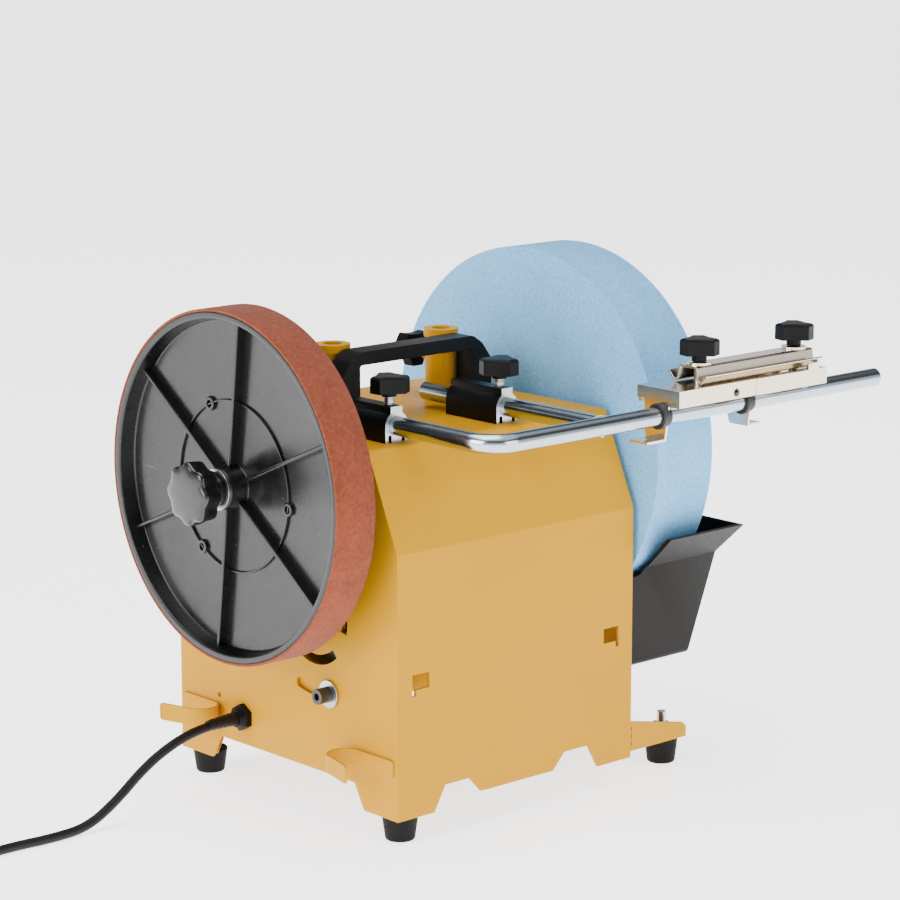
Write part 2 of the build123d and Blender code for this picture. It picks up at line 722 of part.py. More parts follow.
def carry_handle():
    mid, half, top = BODY_W / 2, HANDLE_W / 2, TOP_Z + HANDLE_H
    dx, dz = HANDLE_CORNER
    outer = outline([
        (mid - half, TOP_Z), (mid - half, top - dz),
        (mid - half + dx, top - dz / 3), (mid - half + dx * 2, top),
        (mid + half - dx * 2, top), (mid + half - dx, top - dz / 3),
        (mid + half, top - dz), (mid + half, TOP_Z),
    ])
    inner = outline([
        (mid - HANDLE_OPEN / 2, TOP_Z - 1), (mid - HANDLE_OPEN / 2, top - HANDLE_BAR),
        (mid + HANDLE_OPEN / 2, top - HANDLE_BAR), (mid + HANDLE_OPEN / 2, TOP_Z - 1),
    ])
    grip = along(outer - inner, *HANDLE_Y)
    y = sum(HANDLE_Y) / 2
    for x in handle_screw_x():
        grip -= rod("Z", TOP_Z - 1, TOP_Z + 12, x, y, 2.5)
    edges = grip.edges().filter_by(lambda e: e.center().Z > TOP_Z + 1).filter_by(Axis.Y)
    return chamfer(edges, 1.2)


def handle_screws():
    under, y = TOP_Z - SHEET, sum(HANDLE_Y) / 2
    return [rod("Z", under, TOP_Z + 12, x, y, 2.5) + rod("Z", under - 3, under, x, y, 4.6)
            for x in handle_screw_x()]


# ---- hand knobs ----

def lobed_face():
    """Three blunt lobes joined by shallow hollows."""
    edges = []
    corners = []
    for k in range(3):
        turn = 120 * k + 30
        spread = math.degrees(math.atan2(LOBE_HALF, LOBE_R))
        radius = math.hypot(LOBE_HALF, LOBE_R)
        corners.append((polar((0, 0), radius, turn - spread), polar((0, 0), radius, turn + spread)))
    for k in range(3):
        start, end = corners[k]
        after = corners[(k + 1) % 3][0]
        edges.append(Line(start, end))
        edges.append(ThreePointArc(end, polar((0, 0), LOBE_HOLLOW, 120 * k + 90), after))
    return make_face(edges)


def lobed_knob(bare, neck):
    """A knob standing on its stud along +Z, from the stud's tip at z = 0.
    bare is the stud's length below the neck, neck the neck's length."""
    body = extrude(Pos(0, 0, bare + neck) * lobed_face(), amount=KNOB_T)
    body = chamfer(body.edges().group_by(Axis.Z)[-1], 1.2)
    body += rod("Z", bare, bare + neck + 1, 0, 0, KNOB_NECK_R)
    return body + rod("Z", 0, bare + 1, 0, 0, STUD_R)


def sleeve_knob(x, turn):
    low = BAR_Z + BAR_R + 0.3
    return Pos(x, KNOB_Y, low) * Rot(0, 0, turn) * lobed_knob(11.0, 2.6)


def tube_knob(x):
    start = TUBE_Y + BAR_R + 0.4
    return Pos(x, start, TOP_Z + TUBE_KNOB_Z) * Rot(-90, 0, 0) * Rot(0, 0, 60) * lobed_knob(11.0, 5.0)


# ---- trough ----

def trough_face(inset):
    """The trough's section across the shaft, between its outside faces."""
    drop = TROUGH_WALL * 0.8
    points = [
        (TROUGH_LEAN + inset, TROUGH_Z + inset * drop),
        (BODY_D - TROUGH_LEAN - inset, TROUGH_Z + inset * drop),
        (BODY_D - inset, TROUGH_BEND_Z), (BODY_D + LIP_OUT - inset, TROUGH_RIM_Z + inset),
        (-LIP_OUT + inset, TROUGH_RIM_Z + inset), (inset, TROUGH_BEND_Z),
    ]
    face = outline(points)
    return fillet(face.vertices().filter_by(lambda v: v.Y < TROUGH_Z + 8), TROUGH_CORNER_R - inset)


def trough_x():
    x0 = BODY_W + 1.5
    return x0, x0 + TROUGH_W


def pin_places():
    return AXLE_Y - PIN_SPREAD, AXLE_Y + PIN_SPREAD


PIN_R = 3.0
PIN_HEAD_R = 5.0


def keyhole(y):
    """A slot for a headed pin, open for the head at its lower end."""
    x0 = trough_x()[0]
    low = PIN_Z - TROUGH_LIFT - 1
    hole = rod("X", x0 - 1, x0 + 5, y, low, PIN_HEAD_R + 0.5)
    hole += block(x0 - 1, x0 + 5, y - PIN_R - 0.3, y + PIN_R + 0.3, low, PIN_Z)
    return hole + rod("X", x0 - 1, x0 + 5, y, PIN_Z, PIN_R + 0.3)


def trough():
    x0, x1 = trough_x()
    shell = across(trough_face(0), x0, x1)
    shell -= across(trough_face(TROUGH_WALL), x0 + TROUGH_WALL, x1 - TROUGH_WALL)
    near = x0 + 12
    for front in (True, False):
        cut = outline([
            (x0 - 1, TROUGH_BEND_Z - 6), (x0 + 7, TROUGH_BEND_Z - 5), (x0 + 9, TROUGH_BEND_Z - 1.5),
            (near, TROUGH_BEND_Z + 1), (near - 5, TROUGH_RIM_Z + 3), (x0 - 1, TROUGH_RIM_Z + 3),
        ])
        y0, y1 = (-LIP_OUT - 1, BODY_D / 2) if front else (BODY_D / 2, BODY_D + LIP_OUT + 1)
        shell -= along(cut, y0, y1)
    for y in pin_places():
        shell -= keyhole(y)
    return shell


def trough_pins():
    """Headed studs riveted in the right wall, for the trough to hang on."""
    x0 = trough_x()[0]
    pins = []
    for y in pin_places():
        pin = rod("X", BODY_W - SHEET - 1.5, x0 + TROUGH_WALL + 0.3, y, PIN_Z, PIN_R)
        pin += rod("X", x0 + TROUGH_WALL + 0.3, x0 + TROUGH_WALL + 2.3, y, PIN_Z, PIN_HEAD_R)
        pins.append(pin + rod("X", BODY_W - SHEET - 1.5, BODY_W - SHEET, y, PIN_Z, 5))
    return pins


# ---- jig ----

def jig_channel():
    """The jig's lower jaw: a pressed channel, open at its left end where the first bracket closes it."""
    x0, x1 = JIG_X
    y0, y1 = JIG_Y
    low = JIG_TOP - JIG_FLANGE
    x0 += JIG_T
    tray = block(x0, x1, y0, y1, low, JIG_TOP)
    tray += block(JIG_STEP_X, x1, y0 - JIG_STEP, y1, low, JIG_TOP)
    tray -= block(x0 - 1, x1 - JIG_T, y0 + JIG_T, y1 - JIG_T, low - 1, JIG_TOP - JIG_T)
    tab_x0, tab_x1, tab_h = JIG_TAB
    tray += block(tab_x0, tab_x1, y0 - JIG_STEP, y0 + JIG_T - JIG_STEP, JIG_TOP - 2, JIG_TOP + tab_h)
    tray -= rod("Y", y0 - 1, y0 + 3, JIG_STEP_X - 18, JIG_TOP - 6.5, 2.8)
    for x in JIG_KNOB_X:
        tray -= rod("Z", JIG_TOP - 4, JIG_TOP + 1, x, CLAMP_Y, STUD_R + RUN_GAP)
    return tray


def tongue(top_z):
    """A bracket's tongue, tapering to its foot, in YZ."""
    y0, y1 = JIG_PLATE_Y
    return outline([
        (y0, top_z), (y0 + 4.5, JIG_PLATE_Z), (y1 - 2, JIG_PLATE_Z), (y1, JIG_PLATE_Z + 5), (y1, top_z),
    ])


def bracket_foot(x, side):
    """The foot folded outwards at the tongue's lower end, with its small hole."""
    reach = JIG_FOOT[0 if side < 0 else 1]
    x0, x1 = (x - reach, x + JIG_T) if side < 0 else (x, x + JIG_T + reach)
    y0, y1 = JIG_PLATE_Y[0] + 4.5, JIG_PLATE_Y[1] - 2
    foot = block(x0, x1, y0, y1, JIG_PLATE_Z, JIG_PLATE_Z + JIG_T)
    hole_x = x0 + 6 if side < 0 else x1 - 4
    return foot - rod("Z", JIG_PLATE_Z - 1, JIG_PLATE_Z + 3, hole_x, (y0 + y1) / 2, 1.2)


def jig_brackets():
    """Two plates that carry the bar bushes: the first closes the channel's left end."""
    y0, y1 = JIG_Y
    top = JIG_TOP - JIG_T
    plates = []
    for x, side in zip(JIG_PLATE_X, (-1, 1)):
        web = across(tongue(top), x, x + JIG_T) + bracket_foot(x, side)
        if side < 0:
            web += block(x, x + JIG_T, y0, y1, JIG_TOP - JIG_FLANGE, JIG_TOP)
            web -= block(x - 1, x + 3, JIG_PLATE_Y[1], y1 + 1, JIG_TOP - JIG_FLANGE - 1, JIG_TOP - 7.5)
        else:
            web += block(x, x + 12, JIG_PLATE_Y[0], JIG_PLATE_Y[1], top - JIG_T, top)
        plates.append(web - rod("X", x - 1, x + JIG_T + 1, BAR_Y, BAR_Z, JIG_BUSH_R - 0.9))
    return plates


def jig_bushes():
    bushes = []
    for x in JIG_PLATE_X:
        bush = rod("X", x - 4.3, x - 0.3, BAR_Y, BAR_Z, JIG_BUSH_R)
        bush += rod("X", x - 1, x + JIG_T + 1.5, BAR_Y, BAR_Z, JIG_BUSH_R - 0.95)
        bushes.append(bush - rod("X", x - 9, x + 9, BAR_Y, BAR_Z, BAR_R + BAR_GAP))
    return bushes


def clamp_half():
    """Centre line of the rolled clamp strip's one half, from its crown to its curled edge, in YZ."""
    crown = CLAMP_H - CLAMP_T / 2
    half = CLAMP_W / 2 - CLAMP_T / 2
    low = CLAMP_T / 2
    return [(half - 9.0, crown), (half - 7.6, low + 1.5), (half - 4.6, low), (half, low + 5.0)]


def jig_clamp_bar():
    """A rolled steel strip, crowned in the middle and curled up along both edges."""
    half = clamp_half()
    points = [(-y, z) for y, z in reversed(half)] + half
    path = FilletPolyline(*points, radius=1.0)
    strip = make_face(offset(Wire(path.edges()), amount=CLAMP_T / 2, side=Side.BOTH))
    bar = Pos(0, CLAMP_Y, JIG_TOP + 0.3) * across(strip, *CLAMP_X)
    top = JIG_TOP + 0.3 + CLAMP_H
    for x in JIG_KNOB_X:
        bar += ring("Z", top, top + 1.4, x, CLAMP_Y, 8.2, STUD_R + 0.1)
        bar -= rod("Z", JIG_TOP, top + 9, x, CLAMP_Y, STUD_R + 0.1)
    return bar


def jig_knob(x):
    low = JIG_TOP - 7.5
    top = JIG_TOP + 0.3 + CLAMP_H + 1.4 + 0.3
    return Pos(x, CLAMP_Y, low) * Rot(0, 0, 18) * lobed_knob(top - low, 4.2)


# ---- electrics ----

GLAND_THREAD_R = 6.0
GLAND_HEX_T = 4.2
GLAND_DOME_T = 3.4
SWITCH = (84.0, 108.0, 92.0, 120.0)
ROCKER_AXIS_IN = 3.0
ROCKER_PIN_R = 1.5


def cable_gland():
    y, z = GLAND
    gland = hexagon("X", -GLAND_HEX_T, 0, y, z, 15.5)
    gland += rod("X", 0, SHEET + 8, y, z, GLAND_THREAD_R)
    face = Pos(-GLAND_HEX_T, y, z) * Rot(0, -90, 0)
    gland += face * Pos(0, 0, GLAND_DOME_T / 2) * Cone(7.4, 5.6, GLAND_DOME_T)
    return gland - rod("X", -12, SHEET + 9, y, z, CORD_R)


def gland_nut():
    y, z = GLAND
    nut = hexagon("X", SHEET, SHEET + 5, y, z, 17)
    return nut - rod("X", 0, 9, y, z, GLAND_THREAD_R)


def terminal_block():
    """A three-way terminal strip on the back wall's inside."""
    x0, z0 = 40.0, 60.0
    strip = block(x0, x0 + 34, BODY_D - SHEET - 16, BODY_D - SHEET, z0, z0 + 18)
    for k in range(3):
        x = x0 + 6 + 11 * k
        strip -= rod("Y", BODY_D - SHEET - 17, BODY_D - SHEET - 9, x, z0 + 5, 2.2)
        strip -= rod("Y", BODY_D - SHEET - 17, BODY_D - SHEET - 9, x, z0 + 13, 2.2)
    return strip


def switch_body():
    """A snap-in rocker switch case in the back wall."""
    x0, x1, z0, z1 = SWITCH
    y = BODY_D
    case = block(x0, x1, y - 24, y, z0, z1)
    case += block(x0 - 3, x1 + 3, y, y + 2, z0 - 3, z1 + 3)
    case -= block(x0 + 3, x1 - 3, y - 12, y + 3, z0 + 3, z1 - 3)
    return case - rod("X", x0 + 1.5, x1 - 1.5, y - ROCKER_AXIS_IN, (z0 + z1) / 2, ROCKER_PIN_R + RUN_GAP)


def switch_rocker():
    """A see-saw key, tilted to its lower side."""
    x0, x1, z0, z1 = SWITCH
    mid = (z0 + z1) / 2
    y = BODY_D
    face = outline([
        (y - 7.0, mid - 10.0), (y + 1.5, mid - 10.0), (y + 2.6, mid - 4), (y + 4.8, mid + 9.8),
        (y - 5.0, mid + 9.8), (y - 9.5, mid),
    ])
    pin = rod("X", x0 + 1.6, x1 - 1.6, y - ROCKER_AXIS_IN, mid, ROCKER_PIN_R)
    return across(face, x0 + 3.4, x1 - 3.4) + pin


def run_capacitor():
    """A motor run capacitor strapped inside the front wall."""
    can = rod("X", 132, 186, SHEET + 17, 60, 15)
    for z in (55, 65):
        can += block(128, 132, SHEET + 15, SHEET + 19, z - 2, z + 2)
    saddle = block(150, 166, SHEET, SHEET + 6, 48, 72)
    return [can, saddle - rod("X", 140, 180, SHEET + 17, 60, 15)]


# ---- mains cord: points chosen along its route, in mm ----

CORD_POINTS = [
    (-7.6, 150.0, 50.5), (-29.0, 150.2, 49.9), (-53.0, 149.4, 46.0), (-78.0, 150.4, 34.0),
    (-103.0, 149.6, 15.5), (-124.0, 150.6, 3.6), (-150.0, 149.0, 3.05), (-178.0, 152.0, 3.05),
    (-206.0, 150.6, 3.05), (-234.0, 151.6, 3.05),
]
COIL = (-234.0, 184.6)
COIL_R = 33.0
COIL_BAND = 9.0
COIL_H = 18.0
PLUG_X = -252.0
PLUG_Y = 240.0


def corner_radius(before, corner, after):
    """The largest arc that a corner of the cord's route allows."""
    run_in, run_out = corner - before, after - corner
    turn = math.radians(run_in.get_angle(run_out))
    return 0.45 * min(run_in.length, run_out.length) / math.tan(turn / 2)


def mains_cord():
    points = [Vector(*p) for p in CORD_POINTS]
    radii = [corner_radius(*points[k - 1:k + 2]) for k in range(1, len(points) - 1)]
    path = FilletPolyline(*points, radius=radii)
    tube = sweep(Plane(origin=path @ 0, z_dir=path % 0) * Circle(CORD_R), path=path)
    print("cord radii", [round(r) for r in radii], "length", round(path.length, 1))
    print("cord volume / section x length", tube.volume / (math.pi * CORD_R**2 * path.length))
    return tube


def cord_coil():
    """The wound-up length, as one closed ring of its outer shape."""
    coil = ring("Z", 0, COIL_H, *COIL, COIL_R + COIL_BAND, COIL_R - COIL_BAND)
    return fillet(coil.edges().filter_by(GeomType.CIRCLE), 2.8)


def plug_body():
    """A moulded plug lying beside the coil, its cord tail towards it."""
    back = PLUG_Y
    face = outline([
        (PLUG_X - 6, back), (PLUG_X + 6, back), (PLUG_X + 13, back + 15), (PLUG_X + 13, back + 32),
        (PLUG_X - 13, back + 32), (PLUG_X - 13, back + 15),
    ], 2.5)
    body = extrude(face, amount=20)
    return body - rod("Y", back - 1, back + 6, PLUG_X, 10, CORD_R)


def plug_tail():
    """The short straight length from the coil to the plug."""
    start = COIL[1] + math.sqrt((COIL_R + COIL_BAND)**2 - (PLUG_X - COIL[0])**2) - 6
    return rod("Y", start, PLUG_Y + 6, PLUG_X, 10, CORD_R)


def plug_pins():
    pins = []
    for dx in (-9.5, 9.5):
        pins.append(rod("Y", PLUG_Y + 32, PLUG_Y + 51, PLUG_X + dx, 10, 2.4))
    return pins


# ---- the parts ----

PARTS = {
    "housing_wrap": lambda: housing_wrap(),
    "left_end_wall": lambda: left_end_wall(),
    "right_end_wall": lambda: right_end_wall(),
    "cord_hooks": lambda: [cord_hook(True), cord_hook(False)],
    "rubber_feet": lambda: [rubber_foot(*p) for p in foot_places()],
    "foot_bolts": lambda: [foot_bolt(*p) for p in foot_places()],
    "housing_rivets": lambda: housing_rivets(),
    "shaft_bushes": lambda: [shaft_bush(0, 1), shaft_bush(BODY_W, -1)],
    "left_sleeve": lambda: sleeve(LEG_X[0]),
    "right_sleeve": lambda: sleeve(LEG_X[1]),
    "sleeve_screws": lambda: sleeve_screws(),
    "bar_tubes": lambda: [bar_tube(x) for x in tube_x()],
    "carry_handle": lambda: carry_handle(),
    "handle_screws": lambda: handle_screws(),
    "trough_pins": lambda: trough_pins(),
    "cable_gland": lambda: cable_gland(),
    "gland_nut": lambda: gland_nut(),
    "terminal_block": lambda: terminal_block(),
    "switch_body": lambda: switch_body(),
    "switch_rocker": lambda: switch_rocker(),
    "run_capacitor": lambda: run_capacitor(),
    "mains_cord": lambda: mains_cord(),
    "cord_coil": lambda: cord_coil(),
    "plug_tail": lambda: plug_tail(),
    "plug_body": lambda: plug_body(),
    "plug_pins": lambda: plug_pins(),
    "main_shaft": lambda: main_shaft(),
    "shaft_collars": lambda: shaft_collars(),
    "grinding_stone": lambda: grinding_stone(),
    "stone_inner_flange": lambda: stone_inner_flange(),
    "stone_outer_flange": lambda: stone_outer_flange(),
    "stone_nut": lambda: stone_nut(),
    "honing_rim": lambda: honing_rim(),
    "honing_web": lambda: honing_web(),
    "leather_band": lambda: leather_band(),
    "honing_washer": lambda: honing_washer(),
    "honing_knob": lambda: honing_knob(),
    "motor_plate": lambda: motor_plate(),
    "motor_pivot_pin": lambda: motor_pivot_pin(),
    "motor_can": lambda: motor_can(),
    "motor_end_caps": lambda: motor_end_caps(),
    "motor_bearings": lambda: motor_bearings(),
    "lock_bolt": lambda: lock_bolt(),
    "lock_washer": lambda: lock_washer(),
    "rotor_shaft": lambda: rotor_shaft(),
    "drive_roller": lambda: drive_roller(),
    "cooling_fan": lambda: cooling_fan(),
    "support_bar": lambda: support_bar(),
    "left_sleeve_knob": lambda: sleeve_knob(LEG_X[0], 34),
    "right_sleeve_knob": lambda: sleeve_knob(LEG_X[1], 8),
    "left_tube_knob": lambda: tube_knob(tube_x()[0]),
    "right_tube_knob": lambda: tube_knob(tube_x()[1]),
    "jig_channel": lambda: jig_channel(),
    "jig_brackets": lambda: jig_brackets(),
    "jig_bushes": lambda: jig_bushes(),
    "jig_clamp_bar": lambda: jig_clamp_bar(),
    "left_jig_knob": lambda: jig_knob(JIG_KNOB_X[0]),
    "right_jig_knob": lambda: jig_knob(JIG_KNOB_X[1]),
    "water_trough": lambda: trough(),
}


def save(node, shape):
    solids = []
    for piece in shape if isinstance(shape, list) else [shape]:
        solids += piece.solids()
    moved = [Pos(-ORIGIN[0], -ORIGIN[1], -ORIGIN[2]) * solid for solid in solids]
    whole = moved[0] if len(moved) == 1 else Compound(children=moved)
    whole.label = node
    export_step(whole, f"parts/{node}.step")


if __name__ == "__main__":
    os.makedirs("parts", exist_ok=True)
    for name, make in PARTS.items():
        save(name, make())
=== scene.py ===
import json
import math

import bmesh
import bpy
from mathutils import Matrix, Vector


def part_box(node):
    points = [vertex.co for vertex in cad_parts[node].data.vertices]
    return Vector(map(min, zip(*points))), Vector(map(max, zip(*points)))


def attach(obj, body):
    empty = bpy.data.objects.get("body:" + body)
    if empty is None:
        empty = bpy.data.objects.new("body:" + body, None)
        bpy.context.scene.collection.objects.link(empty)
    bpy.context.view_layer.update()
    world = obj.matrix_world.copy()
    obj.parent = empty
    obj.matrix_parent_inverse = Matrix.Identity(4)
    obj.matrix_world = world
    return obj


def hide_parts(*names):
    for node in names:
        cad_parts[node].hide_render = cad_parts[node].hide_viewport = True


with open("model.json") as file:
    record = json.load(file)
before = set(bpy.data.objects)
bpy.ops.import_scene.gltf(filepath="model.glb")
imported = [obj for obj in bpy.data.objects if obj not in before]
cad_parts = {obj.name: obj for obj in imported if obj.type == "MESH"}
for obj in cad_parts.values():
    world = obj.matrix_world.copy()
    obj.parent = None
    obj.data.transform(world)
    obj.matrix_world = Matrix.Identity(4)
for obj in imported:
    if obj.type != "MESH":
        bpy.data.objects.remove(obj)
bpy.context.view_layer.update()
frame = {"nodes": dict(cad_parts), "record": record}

# The looks of a wet grinding sharpener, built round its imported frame.
# Sizes are in millimetres from the housing's front left lower corner, and spot() turns them into metres.

MM = 0.001
WALL_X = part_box("left_end_wall")[0][0]
FRONT_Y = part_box("housing_wrap")[0][1]


def spot(x, y, z):
    """A place in millimetres from the housing's corner, in the frame's metres."""
    return Vector((x * MM + WALL_X, y * MM + FRONT_Y, z * MM))


def middle(node):
    low, high = (Vector(corner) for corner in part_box(node))
    return (low + high) / 2


AXLE = middle("main_shaft")
SLOT_OF = {sub["node"]: sub["material_slot"] for sub in frame["record"]["subparts"]}
BODY_OF = {node: body for body, nodes in frame["record"]["behaviour"]["bodies"].items() for node in nodes}


# ---- camera ----

CAMERA_AT = (-1187, -1363, 618)
CAMERA_DIP = 0.202
CAMERA_TURN = -0.734
LENS = 124.2
SENSOR = 36.0

camera = bpy.data.objects.new("camera", bpy.data.cameras.new("camera"))
bpy.context.collection.objects.link(camera)
camera.data.lens = LENS
camera.data.sensor_width = SENSOR
camera.data.clip_end = 50.0
camera.location = spot(*CAMERA_AT)
camera.rotation_euler = (math.pi / 2 - CAMERA_DIP, 0.0, CAMERA_TURN)
bpy.context.scene.camera = camera


# ---- finishes ----

# sockets of a colour mix node
FACTOR, FIRST, SECOND, RESULT = 0, 6, 7, 2


def srgb(code):
    """A hex colour as linear light, with alpha."""
    channels = [int(code[k:k + 2], 16) / 255 for k in (1, 3, 5)]
    return (*[c / 12.92 if c <= 0.04045 else ((c + 0.055) / 1.055) ** 2.4 for c in channels], 1.0)


class Finish:
    """A procedural material on the piece's own coordinates, built up a layer at a time."""

    def __init__(self, name, colour, roughness, metallic=0.0, **sockets):
        self.material = bpy.data.materials.new(name)
        self.material.use_nodes = True
        self.tree = self.material.node_tree
        self.shader = self.tree.nodes["Principled BSDF"]
        self.colour = None
        self.normal = None
        self.base = srgb(colour)
        self.shader.inputs["Base Color"].default_value = self.base
        self.shader.inputs["Roughness"].default_value = roughness
        self.shader.inputs["Metallic"].default_value = metallic
        for socket, value in sockets.items():
            self.shader.inputs[socket.replace("_", " ")].default_value = value
        self.place = self.tree.nodes.new("ShaderNodeTexCoord").outputs["Object"]

    def node(self, kind, **values):
        made = self.tree.nodes.new(kind)
        for name, value in values.items():
            if name in made.inputs:
                made.inputs[name].default_value = value
            else:
                setattr(made, name, value)
        return made

    def stretched(self, scale=(1, 1, 1), turn=(0, 0, 0)):
        """The piece's coordinates, squeezed or turned, for grain that runs one way."""
        mapping = self.node("ShaderNodeMapping")
        mapping.inputs["Scale"].default_value = scale
        mapping.inputs["Rotation"].default_value = turn
        self.tree.links.new(self.place, mapping.inputs["Vector"])
        return mapping.outputs["Vector"]

    def noise(self, size, detail=4.0, roughness=0.55, place=None, distortion=0.0):
        """Noise whose blobs are about size millimetres across."""
        made = self.node("ShaderNodeTexNoise", Scale=1 / (size * MM), Detail=detail, Roughness=roughness,
                         Distortion=distortion)
        self.tree.links.new(place or self.place, made.inputs["Vector"])
        return made.outputs["Fac"]

    def cells(self, size, place=None):
        """Distance to the nearest of many points, about size millimetres apart."""
        made = self.node("ShaderNodeTexVoronoi", Scale=1 / (size * MM))
        self.tree.links.new(place or self.place, made.inputs["Vector"])
        return made.outputs["Distance"]

    def steps(self, value, *stops):
        """value run through a ramp of (position, grey or hex colour)."""
        ramp = self.node("ShaderNodeValToRGB")
        band = ramp.color_ramp
        while len(band.elements) < len(stops):
            band.elements.new(0.5)
        for element, (position, tone) in zip(band.elements, stops):
            element.position = position
            element.color = srgb(tone) if isinstance(tone, str) else (tone, tone, tone, 1)
        self.tree.links.new(value, ramp.inputs["Fac"])
        return ramp.outputs["Color"]

    def tint(self, amount, other):
        """Lays another colour over the base, by amount."""
        mix = self.node("ShaderNodeMix", data_type="RGBA")
        if self.colour is None:
            mix.inputs[FIRST].default_value = self.base
        else:
            self.tree.links.new(self.colour, mix.inputs[FIRST])
        mix.inputs[SECOND].default_value = srgb(other)
        self.tree.links.new(amount, mix.inputs[FACTOR])
        self.colour = mix.outputs[RESULT]
        self.tree.links.new(self.colour, self.shader.inputs["Base Color"])

    def gloss(self, value, low, high):
        """Roughness from low to high as value goes from 0 to 1."""
        span = self.node("ShaderNodeMapRange")
        span.inputs["To Min"].default_value = low
        span.inputs["To Max"].default_value = high
        self.tree.links.new(value, span.inputs["Value"])
        self.tree.links.new(span.outputs["Result"], self.shader.inputs["Roughness"])

    def bump(self, value, height, strength=1.0):
        """Relief of the given height in millimetres, over any relief already there."""
        made = self.node("ShaderNodeBump", Strength=strength, Distance=height * MM)
        self.tree.links.new(value, made.inputs["Height"])
        if self.normal is not None:
            self.tree.links.new(self.normal, made.inputs["Normal"])
        self.normal = made.outputs["Normal"]
        self.tree.links.new(self.normal, self.shader.inputs["Normal"])
        return self


def yellow_enamel():
    coat = Finish("yellow_enamel", "#C48C00", 0.34, Specular_IOR_Level=0.08)
    coat.tint(coat.steps(coat.noise(90, 3), (0.35, 0.0), (0.75, 0.35)), "#BA8200")
    coat.gloss(coat.noise(14, 5), 0.30, 0.44)
    coat.bump(coat.noise(1.1, 2), 0.035, 0.6)
    return coat.bump(coat.noise(60, 2), 0.25, 0.25)


def grinding_stone():
    stone = Finish("aluminium_oxide_stone", "#7CBCE9", 0.93, Specular_IOR_Level=0.2)
    stone.tint(stone.steps(stone.noise(28, 4), (0.3, 0.0), (0.8, 0.45)), "#66A6D9")
    stone.tint(stone.steps(stone.noise(2.2, 3, 0.7), (0.42, 0.0), (0.72, 0.7)), "#5E9CD0")
    grains = stone.steps(stone.cells(1.5), (0.10, 1.0), (0.26, 0.0))
    stone.tint(grains, "#B9DDF5")
    turned = stone.stretched((1, 1, 1), (0.4, 0.9, 0.2))
    pits = stone.steps(stone.cells(3.4, turned), (0.06, 1.0), (0.15, 0.0))
    stone.tint(pits, "#3E6C98")
    stone.bump(stone.noise(1.0, 3, 0.7), 0.25, 0.8)
    return stone.bump(pits, 0.3, -0.5)


def suede_leather():
    hide = Finish("suede_leather", "#7A3620", 0.95, Sheen_Weight=0.08, Sheen_Roughness=0.6,
                  Specular_IOR_Level=0.1)
    hide.tint(hide.steps(hide.noise(22, 5, 0.65), (0.35, 0.0), (0.7, 0.75)), "#5F2814")
    hide.tint(hide.steps(hide.noise(2.4, 4, 0.75), (0.4, 0.0), (0.75, 0.6)), "#945236")
    pores = hide.steps(hide.cells(2.1), (0.05, 1.0), (0.2, 0.0))
    hide.tint(pores, "#531F0E")
    hide.bump(hide.noise(0.7, 4, 0.8), 0.25, 0.8)
    return hide.bump(hide.noise(7, 3), 0.35, 0.35)


def scuffed_black():
    """Glossy moulded black with pale scuffs and dust."""
    gloss = Finish("glossy_black_plastic", "#0B0C0D", 0.24, Specular_IOR_Level=0.4, Coat_Weight=0.1,
                   Coat_Roughness=0.1)
    long_marks = gloss.noise(5, 5, 0.7, gloss.stretched((1, 0.08, 0.9), (0.6, 0, 0)), 0.8)
    marks = gloss.steps(long_marks, (0.68, 0.0), (0.76, 0.5))
    gloss.tint(marks, "#6A6C6F")
    dust = gloss.steps(gloss.cells(6.0), (0.015, 0.7), (0.06, 0.0))
    gloss.tint(dust, "#8D9093")
    gloss.gloss(gloss.noise(16, 5), 0.14, 0.40)
    return gloss.bump(gloss.noise(30, 3), 0.2, 0.3)


def plain_moulded(name, colour, shade, low, high, grain, **sockets):
    """Moulded plastic, rubber or paint, mottled a little, with a fine grain."""
    made = Finish(name, colour, (low + high) / 2, **sockets)
    made.tint(made.steps(made.noise(12, 4), (0.35, 0.0), (0.8, 0.5)), shade)
    made.gloss(made.noise(5, 4), low, high)
    return made.bump(made.noise(grain, 2), 0.05, 0.7)


def drawn_metal(name, colour, shade, low, high, grain, relief):
    """Metal with fine lines along its grain and a little tarnish."""
    metal = Finish(name, colour, (low + high) / 2, 1.0)
    metal.tint(metal.steps(metal.noise(18, 5, 0.6), (0.35, 0.0), (0.8, 0.6)), shade)
    lines = metal.noise(0.8, 3, 0.6, metal.stretched(grain))
    metal.gloss(lines, low, high)
    metal.bump(lines, relief, 0.35)
    return metal.bump(metal.noise(35, 2), 0.12, 0.25)


def cord_rubber():
    sheath = Finish("cord_rubber", "#0C0C0D", 0.5, Specular_IOR_Level=0.2)
    sheath.tint(sheath.steps(sheath.noise(8, 4), (0.4, 0.0), (0.8, 0.5)), "#161617")
    sheath.gloss(sheath.noise(3, 4), 0.42, 0.6)
    return sheath.bump(sheath.noise(0.5, 2), 0.04, 0.6)


